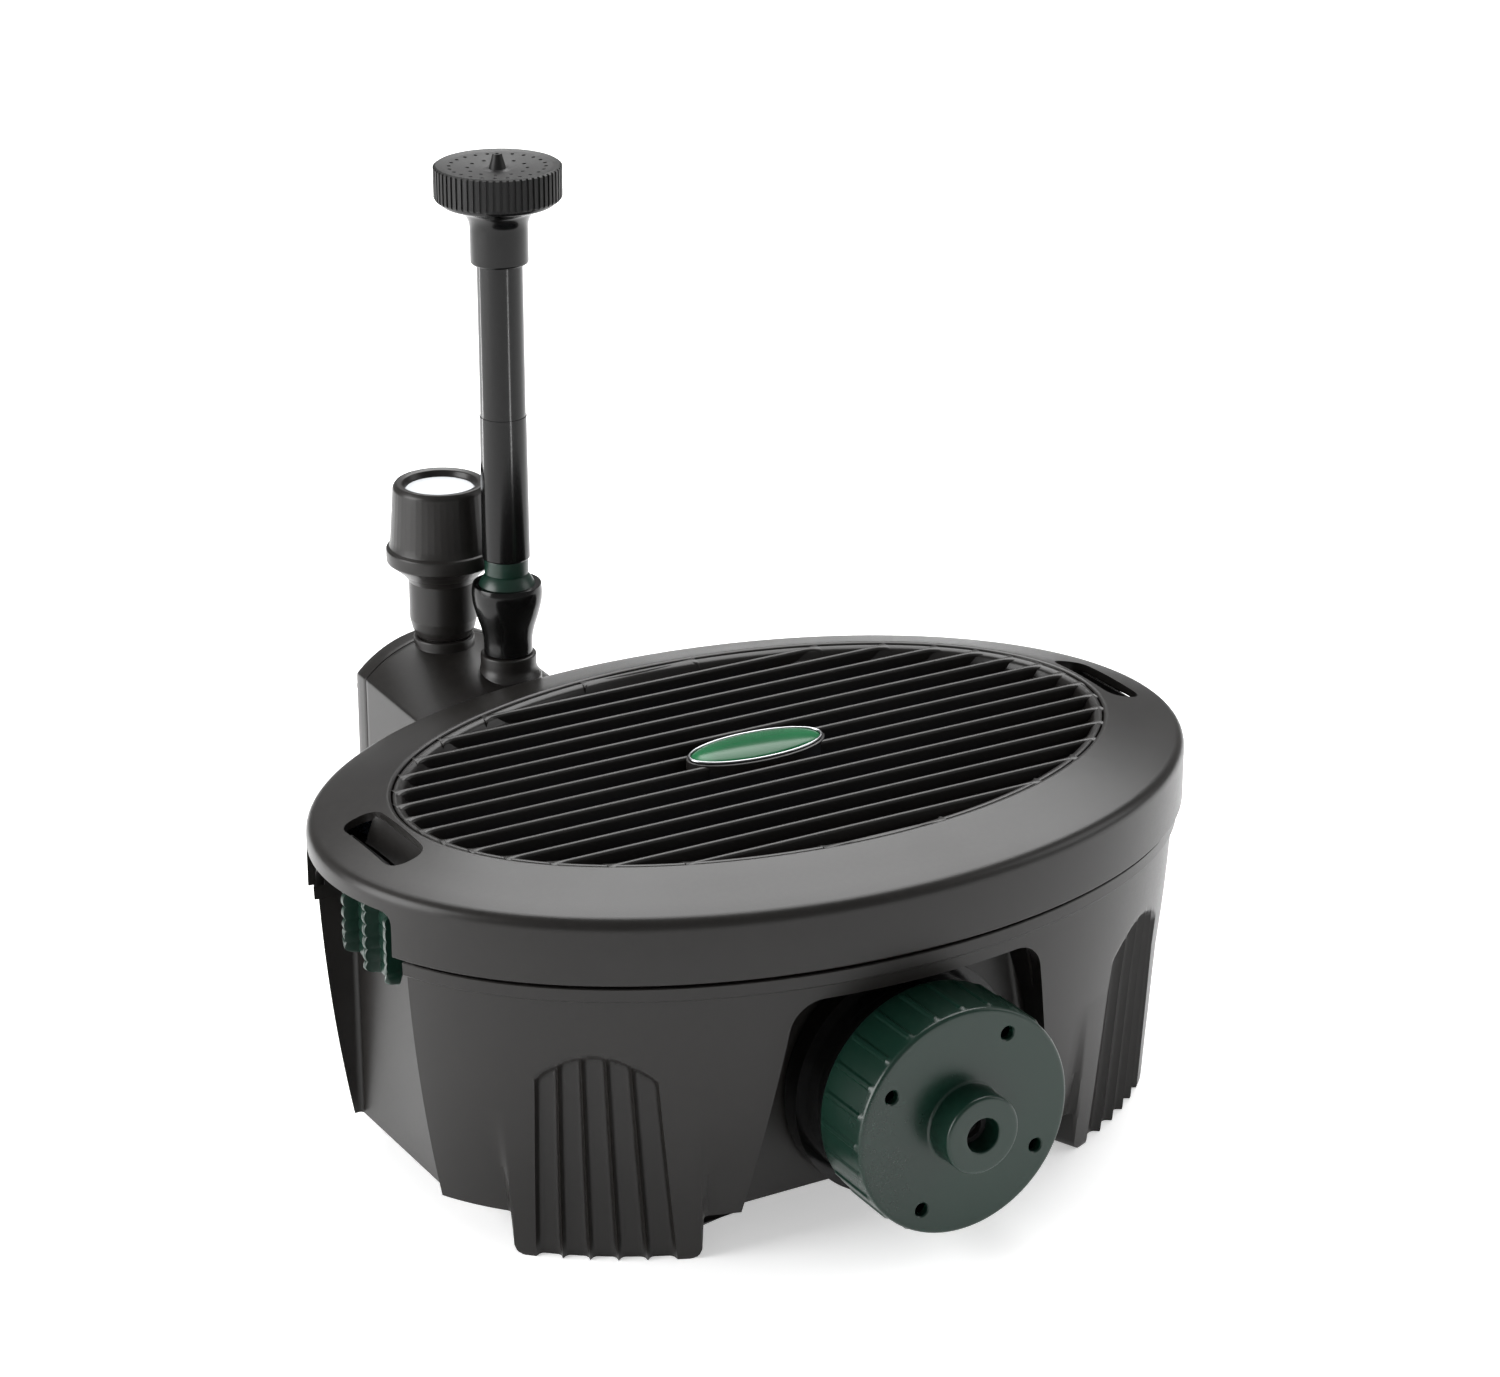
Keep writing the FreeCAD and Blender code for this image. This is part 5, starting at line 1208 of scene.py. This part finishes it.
@dataclass
class Housing(Assembly):
    """The two shells of the pump housing, with the riser's collar and the lamp's seat.

    Attributes:
        x: middle of the housing.
        half: its half width.
        low: its underside.
        front: where its top starts to climb, behind the tub's middle.
        seam: joint between the shells.
    """

    x: float = -52.0
    half: float = 38.3
    low: float = 22.0
    front: float = 118.0
    seam: float = 197.0

    def section(self, y: np.ndarray, inset: np.ndarray, share: np.ndarray) -> np.ndarray:
        """The housing's outline at depths: upright sides, level foot and an arc over the top.

        The arc has radius (half^2 + rise^2) / (2 rise), where rise is its height over the
        shoulders, and both heights climb straight from the front to the seam.

        Args:
            y: depth of each point.
            inset: how far inside the outline each point lies.
            share: 0 to 1 left side, 1 to 2 arc, 2 to 3 right side, 3 to 4 foot.

        Returns:
            Points.
        """
        climb = np.clip((y - self.front) / (self.seam - self.front), 0.0, 1.0)
        shoulder = 144.5 + 3.1 * climb - inset
        peak = 149.0 + 14.4 * climb - inset
        half, low = self.half - inset, self.low + inset
        rise = peak - shoulder
        radius = (half ** 2 + rise ** 2) / (2 * rise)
        sweep = np.arcsin(half / radius)
        bow = (2.0 * (share - 1.0) - 1.0) * sweep
        x = np.select([share < 1, share < 2, share < 3], [-half, radius * np.sin(bow), half],
                      half * (1.0 - 2.0 * (share - 3.0)))
        z = np.select([share < 1, share < 2, share < 3],
                      [low + (shoulder - low) * share, peak - radius + radius * np.cos(bow),
                       shoulder - (shoulder - low) * (share - 2.0)], low)
        return np.stack([x + self.x, y + self.centre_y, z], -1)

    def rounded(self, grid: np.ndarray) -> np.ndarray:
        """Draws the points near the shoulders and foot corners in, as a fillet.

        A point near a corner moves to a quarter of the sum of its two neighbours and twice
        itself, four times over.

        Args:
            grid: sections, one to a row.

        Returns:
            The softened sections.
        """
        radius, shoulder = 3.0, 147.0
        for _ in range(4):
            soft = (np.roll(grid, 1, 1) + np.roll(grid, -1, 1)) / 4 + grid / 2
            off = np.abs(np.abs(grid[..., 0] - self.x) - self.half)
            low = np.abs(grid[..., 2] - self.low)
            high = np.abs(grid[..., 2] - shoulder)
            near = (off < radius) & ((low < radius) | (high < radius + 1.5))
            grid = np.where(near[..., None], soft, grid)
        return grid

    def shares(self) -> np.ndarray:
        """Columns round the outline, closer together at its corners."""
        ease = (1.0 - np.cos(np.linspace(0.0, math.pi, 34, endpoint=False))) / 2
        return np.concatenate([ease + i for i in range(4)])

    def start(self, spots: np.ndarray) -> np.ndarray:
        """How far back the tub's wall or the lid's edge reaches at each point."""
        x, z = spots[:, 0], spots[:, 2]
        a = np.interp(z, [18.0, 75.0, 127.5], [184.0, 192.0, 196.0])
        b = np.interp(z, [18.0, 75.0, 127.5], [127.5, 135.0, 138.0])
        wall = b * np.sqrt(1.0 - (x / a) ** 2) - 0.6
        clear = 143.2 * np.sqrt(1.0 - (x / 201.5) ** 2)
        return np.where(z > 120.0, clear, wall)

    def collar(self, node: str, radius: float, bore: float, low: float, top: float) -> Patch:
        """A ring that grows out of the housing with a fillet at its foot.

        Args:
            node: the CAD node whose axis it shares.
            radius: its outside.
            bore: its inside.
            low: its foot, inside the housing.
            top: its upper edge.

        Returns:
            The surface.
        """
        x, y, _ = self.middle(node)
        corners = [(bore, low), (radius + 2.4, low), (radius + 2.4, low + 6.0), (radius, low + 9.5),
                   (radius, top), (bore, top)]
        return Axis(x, y).turn(soften(corners, [0, 0, 1.0, 2.4, 1.0, 0.6]), 96)

    def build(self) -> None:
        """Makes both shells, each closed, with a fine groove between them."""
        share = self.shares()[None, :]
        flat = self.section(np.full_like(share, 140.0), np.zeros_like(share), share)[0]
        start = self.start(flat)[None, :]
        along = np.linspace(0.0, 1.0, 34)[:, None]
        y = start + (self.seam - 0.5 - start) * along
        grid = self.section(y, np.zeros_like(y), share + 0.0 * y)
        lip = [self.section(np.full_like(share, self.seam - d), np.full_like(share, i), share)
               for d, i in ((0.25, 0.12), (0.1, 0.45))]
        grid = self.rounded(np.vstack([grid, *lip]))
        # The riser's collar and the spotlight's seat are rings standing on the top.
        patches = [Patch(grid, capped=True),
                   self.collar("swivel_cup", 12.6, 9.1, 148.0, 164.5),
                   self.collar("spot_body", 13.8, 11.5, 149.5, 164.5)]
        self.make("housing_front", patches, 30.0,
                  "base", "charcoal_plastic", "housing_front_shell")
        steps = [(0.1, 0.45), (0.25, 0.12), (0.5, 0.0), (3.0, 0.0), (6.0, 0.05), (9.0, 0.25),
                 (11.0, 0.7), (12.4, 1.4), (13.4, 2.4), (14.0, 3.6)]
        rows = [self.section(np.full_like(share, self.seam + d), np.full_like(share, i), share)
                for d, i in steps]
        shell = Patch(self.rounded(np.vstack(rows)), capped=True)
        self.make("housing_rear", [shell], 30.0,
                  "base", "charcoal_plastic", "housing_back_shell")


# ---------------------------------------------------------------------- foams


@dataclass
class Foams(Assembly):
    """The two filter foams: soft-edged slabs with a slightly uneven face.

    Attributes:
        tub: the tub, whose sections give their outline.
    """

    tub: Tub

    def slab(self, name: str, low: float, high: float) -> bpy.types.Object:
        """One slab, its edges rolled in by 2.5 mm and its faces in by rings to the middle.

        Args:
            name: the piece's name.
            low: lower face.
            high: upper face.

        Returns:
            The object.
        """
        level = (low + high) / 2
        rim = self.tub.loop(level, -9.5, 9.6, recess=level < self.tub.recess_top + 3.0,
                            raised=False)
        centre = np.array([0.0, self.centre_y, 0.0])
        rows = []
        turn = np.linspace(-math.pi / 2, math.pi / 2, 13)
        for tilt in turn:
            shrink = 1.0 - 0.014 * (1.0 - math.cos(tilt))
            row = (rim - centre) * shrink + centre
            row[:, 2] = level + (high - low) / 2 * math.copysign(abs(math.sin(tilt)) ** 0.45, tilt)
            rows.append(row)
        faces = []
        for share in (0.92, 0.75, 0.5, 0.25, 0.0):
            row = (rows[-1] - centre) * np.array([share, share, 1.0]) + centre
            wobble = 0.35 * np.sin(row[:, 0] * 0.11) * np.cos(row[:, 1] * 0.13)
            row[:, 2] = high - 0.4 + wobble
            faces.append(row)
        under = [row * np.array([1.0, 1.0, 0.0]) + np.array([0.0, 0.0, low + 0.1]) for row in faces]
        return build_mesh(name, [Patch(np.stack(under[::-1] + rows + faces))], 50.0)

    def build(self) -> None:
        for name, node, slot in (("coarse_filter_foam", "coarse_foam", "coarse_foam"),
                                 ("fine_filter_foam", "fine_foam", "fine_foam")):
            low, high = (corner[2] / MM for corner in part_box(node))
            slab = self.slab(name, low + 0.1, high - 0.1)
            self.settle(slab, "base", slot, node)


# ---------------------------------------------------------------------- fountain and lamp


@dataclass
class Riser(Assembly):
    """The swivel cup, ball joint and fountain head; the tubes keep their CAD shape.

    Attributes:
        ball_z: height of the ball's centre.
        ball_radius: its radius.
    """

    ball_z: float = 193.0
    ball_radius: float = 13.4

    def bow(self, radius: float, start: float, end: float, count: int) -> np.ndarray:
        """Part of a circle about the ball's centre, as pairs of radius and height."""
        turn = np.linspace(start, end, count)
        return np.column_stack([radius * np.cos(turn), self.ball_z + radius * np.sin(turn)])

    def build(self) -> None:
        """Makes each turned piece about the riser's axis."""
        x, y, _ = self.middle("swivel_cup")
        axis = Axis(x, y)
        seat = self.bow(self.ball_radius + 0.08, -1.066, 0.60, 40)
        seat = seat[seat[:, 1] < 197.6]
        outer = soften([(15.4, 198.0), (16.0, 194.5), (15.8, 190.0), (14.4, 184.0), (12.0, 176.5),
                        (11.0, 171.5), (11.0, 164.9), (9.0, 164.7), (9.0, 142.6), (6.5, 142.6),
                        (6.5, 181.2)], [0.5, 1.6, 2.4, 3.0, 3.0, 2.4, 0.4, 0.3, 0.6, 0.5, 0.0])
        self.make("riser_cup", [axis.turn(np.vstack([outer, seat]), 112)], 32.0,
                  "cup", "black_gloss_plastic", "swivel_cup")
        sphere = self.bow(self.ball_radius, -1.09, 0.83, 48)
        neck = soften([(9.9, 203.0), (9.9, 209.9), (8.35, 209.9), (8.35, 223.9), (6.0, 223.9),
                       (6.0, 181.1)], [0.6, 0.5, 0.2, 0.6, 0.4, 0.0], closed=False)
        self.make("ball_and_neck", [axis.turn(np.vstack([sphere, neck]), 96)], 32.0,
                  "ball", "green_plastic", "ball_joint")
        low, band, neck_r = 346.3, 375.3, 12.9
        corners = [(10.3, low), (neck_r, low), (neck_r, low + 19.0), (16.5, band - 4.6),
                   (25.2, band - 2.0), (26.2, band - 0.3), (23.4, band - 0.3), (22.4, band - 1.1),
                   (15.0, band - 3.2), (7.0, low + 20.0), (7.0, low + 12.05), (10.3, low + 12.05)]
        radii = [0.4, 1.3, 3.0, 2.4, 0.8, 0.3, 0.2, 0.3, 0.6, 0.6, 0.0, 0.0]
        self.make("fountain_funnel", [axis.turn(soften(corners, radii), 112)], 32.0,
                  "upper", "black_gloss_plastic", "nozzle_body")


@dataclass
class Spotlight(Assembly):
    """The spotlight's head ring; its stem, lens and inner pieces keep their CAD shape.

    Attributes:
        facets: flats round the head's side.
    """

    facets: int = 48

    def facet(self, angle: np.ndarray, radius: np.ndarray, height: np.ndarray) -> np.ndarray:
        """Flat facets on the head's side only, set out by 0.05 mm to stay near its radius."""
        pitch = 2 * math.pi / self.facets
        off = (angle + pitch / 2) % pitch - pitch / 2
        depth = radius * (1.0 - math.cos(pitch / 2) / np.cos(off))
        side = (height > 209.0) & (height < 235.5) & (radius > 21.0)
        return (depth - 0.05) * side * -1.0

    def build(self) -> None:
        """Makes the head: a rolled flange, a faceted side and a bevelled rim."""
        x, y, _ = self.middle("spot_body")
        low, mid, top = 200.5, 208.0, 238.0
        corners = [(19.5, low), (24.6, low), (25.2, low + 1.0), (25.2, mid - 0.8), (23.7, mid),
                   (23.2, mid + 3.0), (22.2, top - 14.0), (21.4, top - 2.0), (19.9, top),
                   (17.0, top - 0.6), (16.0, top - 3.0), (16.0, top - 4.0), (17.6, top - 4.0),
                   (17.6, mid + 6.0), (19.5, mid + 2.0)]
        radii = [0.2, 0.5, 0.4, 0.8, 0.5, 0.6, 0.0, 0.9, 0.7, 0.5, 0.2, 0.1, 0.0, 0.3, 0.3]
        head = Axis(x, y).turn(soften(corners, radii), 288, self.facet)
        self.make("lamp_head_ring", [head], 28.0, "spot_head", "charcoal_plastic", "spot_bezel")


# ---------------------------------------------------------------------- plain nodes, stage


class CarriedNodes(Assembly):
    """The CAD nodes whose own shape is shown."""

    def build(self, record: dict) -> None:
        """Gives each shown CAD node the finish of its slot.

        Args:
            record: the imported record, whose subparts name each node's slot.
        """
        for entry in record["subparts"]:
            shown = bpy.data.objects[entry["node"]]
            if shown.hide_render:
                continue
            shown.data.materials.clear()
            shown.data.materials.append(self.paints.of(entry["material_slot"]))
            LOG.info("%s keeps its CAD shape", entry["node"])


LAMPS = (("overhead", (0.75, 0.85, 1.9), 1.7, 62.0), ("left", (-2.1, 0.5, 0.75), 1.5, 62.0),
         ("right", (2.0, -0.9, 1.0), 1.2, 10.0), ("backdrop", (0.0, 2.2, 3.2), 2.0, 30.0))


@dataclass
class Studio:
    """Floor, lights, surround and camera.

    Attributes:
        tub_y: the tub's middle in metres, which the camera is placed from.
        lens: focal length in millimetres.
        spot: the camera's place in metres from the tub's middle.
        turn: its rotation in degrees.
    """

    tub_y: float
    lens: float = 100.8
    spot: tuple[float, float, float] = (-0.834, -1.4253, 0.8515)
    turn: tuple[float, float, float] = (68.26, 0.0, -30.25)

    def floor(self) -> None:
        """A pale round floor in a bowl that rises far off and isn't mirrored in gloss."""
        g = Graph("pale_paper")
        g.feed("Base Color", g.blend(g.noise(3.0), (0.92, 0.92, 0.92), (0.95, 0.95, 0.95)))
        g.feed("Roughness", 0.8)
        g.feed("Emission Color", (1.0, 1.0, 1.0))
        g.feed("Emission Strength", 0.42)
        for name, first, last in (("studio_floor", 0.0, 1.8), ("studio_bowl", 1.8, 7.0)):
            run = np.linspace(first, last, 40)
            profile = np.column_stack([run, 4.0 * smoothstep((run - 2.6) / 4.4) ** 1.2]) / MM
            bowl = build_mesh(name, [Axis(0.0, 0.0).turn(profile, 128, closed=False)])
            bowl.data.materials.append(g.material)
            bowl.visible_glossy = first == 0.0

    def lamp(self, name: str, spot: Vector, turn: Euler, sides: tuple[float, float],
             watts: float) -> bpy.types.Object:
        """One soft oblong lamp.

        Args:
            name: its name.
            spot: where it stands, in metres.
            turn: its rotation.
            sides: its sides in metres.
            watts: its power.

        Returns:
            The lamp.
        """
        data = bpy.data.lights.new(name, "AREA")
        data.shape = "RECTANGLE"
        data.size, data.size_y = sides
        data.energy = watts
        lamp = bpy.data.objects.new(name, data)
        lamp.location, lamp.rotation_euler = spot, turn
        bpy.context.scene.collection.objects.link(lamp)
        return lamp

    def strip(self, name: str, heading: float) -> None:
        """A narrow lamp lying on the floor, which only the riser's tubes show, as a streak.

        Args:
            name: its name.
            heading: the direction it lies in from the riser, in degrees from X.
        """
        turn = math.radians(heading)
        spot = Vector((-0.04 + 0.95 * math.cos(turn), 0.14 + 0.95 * math.sin(turn), 0.012))
        lamp = self.lamp(name, spot, Euler((math.pi, 0.0, turn)), (1.1, 0.07), 3.5)
        lamp.visible_camera = False
        lit = bpy.data.collections.new(name)
        for piece in ("lower_tube", "upper_tube"):
            lit.objects.link(bpy.data.objects[piece])
        lamp.light_linking.receiver_collection = lit

    def build(self) -> None:
        """Sets the stage."""
        self.floor()
        world = bpy.data.worlds.new("surround")
        world.use_nodes = True
        surround = world.node_tree.nodes["Background"]
        surround.inputs["Color"].default_value = (1, 1, 1, 1)
        surround.inputs["Strength"].default_value = 0.30
        bpy.context.scene.world = world
        for name, place, side, watts in LAMPS:
            spot = Vector(place)
            turn = (Vector((0, 0, 0.12)) - spot).to_track_quat("-Z", "Y").to_euler()
            self.lamp(name, spot, turn, (side, side), watts)
        self.strip("front_strip", -80.0)
        self.strip("rear_strip", 122.0)
        data = bpy.data.cameras.new("camera")
        data.lens = self.lens
        data.sensor_width = 36.0
        camera = bpy.data.objects.new("camera", data)
        camera.location = (self.spot[0], self.spot[1] + self.tub_y, self.spot[2])
        camera.rotation_euler = Euler([math.radians(a) for a in self.turn])
        bpy.context.scene.collection.objects.link(camera)
        bpy.context.scene.camera = camera
        bpy.context.scene.view_settings.view_transform = "Standard"


def main() -> None:
    """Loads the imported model, dresses it and sets the stage."""
    logging.basicConfig(level=logging.INFO, format="%(name)s: %(message)s")
    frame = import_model()
    paints = Paints()
    tub = Tub(paints)
    tub.build()
    for part in (ClarifierCap(paints), Lid(paints), Clips(paints), Housing(paints),
                 Foams(paints, tub), Riser(paints), Spotlight(paints)):
        part.build()
    CarriedNodes(paints).build(frame["record"])
    low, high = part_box("lid_rim")
    Studio((low[1] + high[1]) / 2).build()


if __name__ == "__main__":
    main()
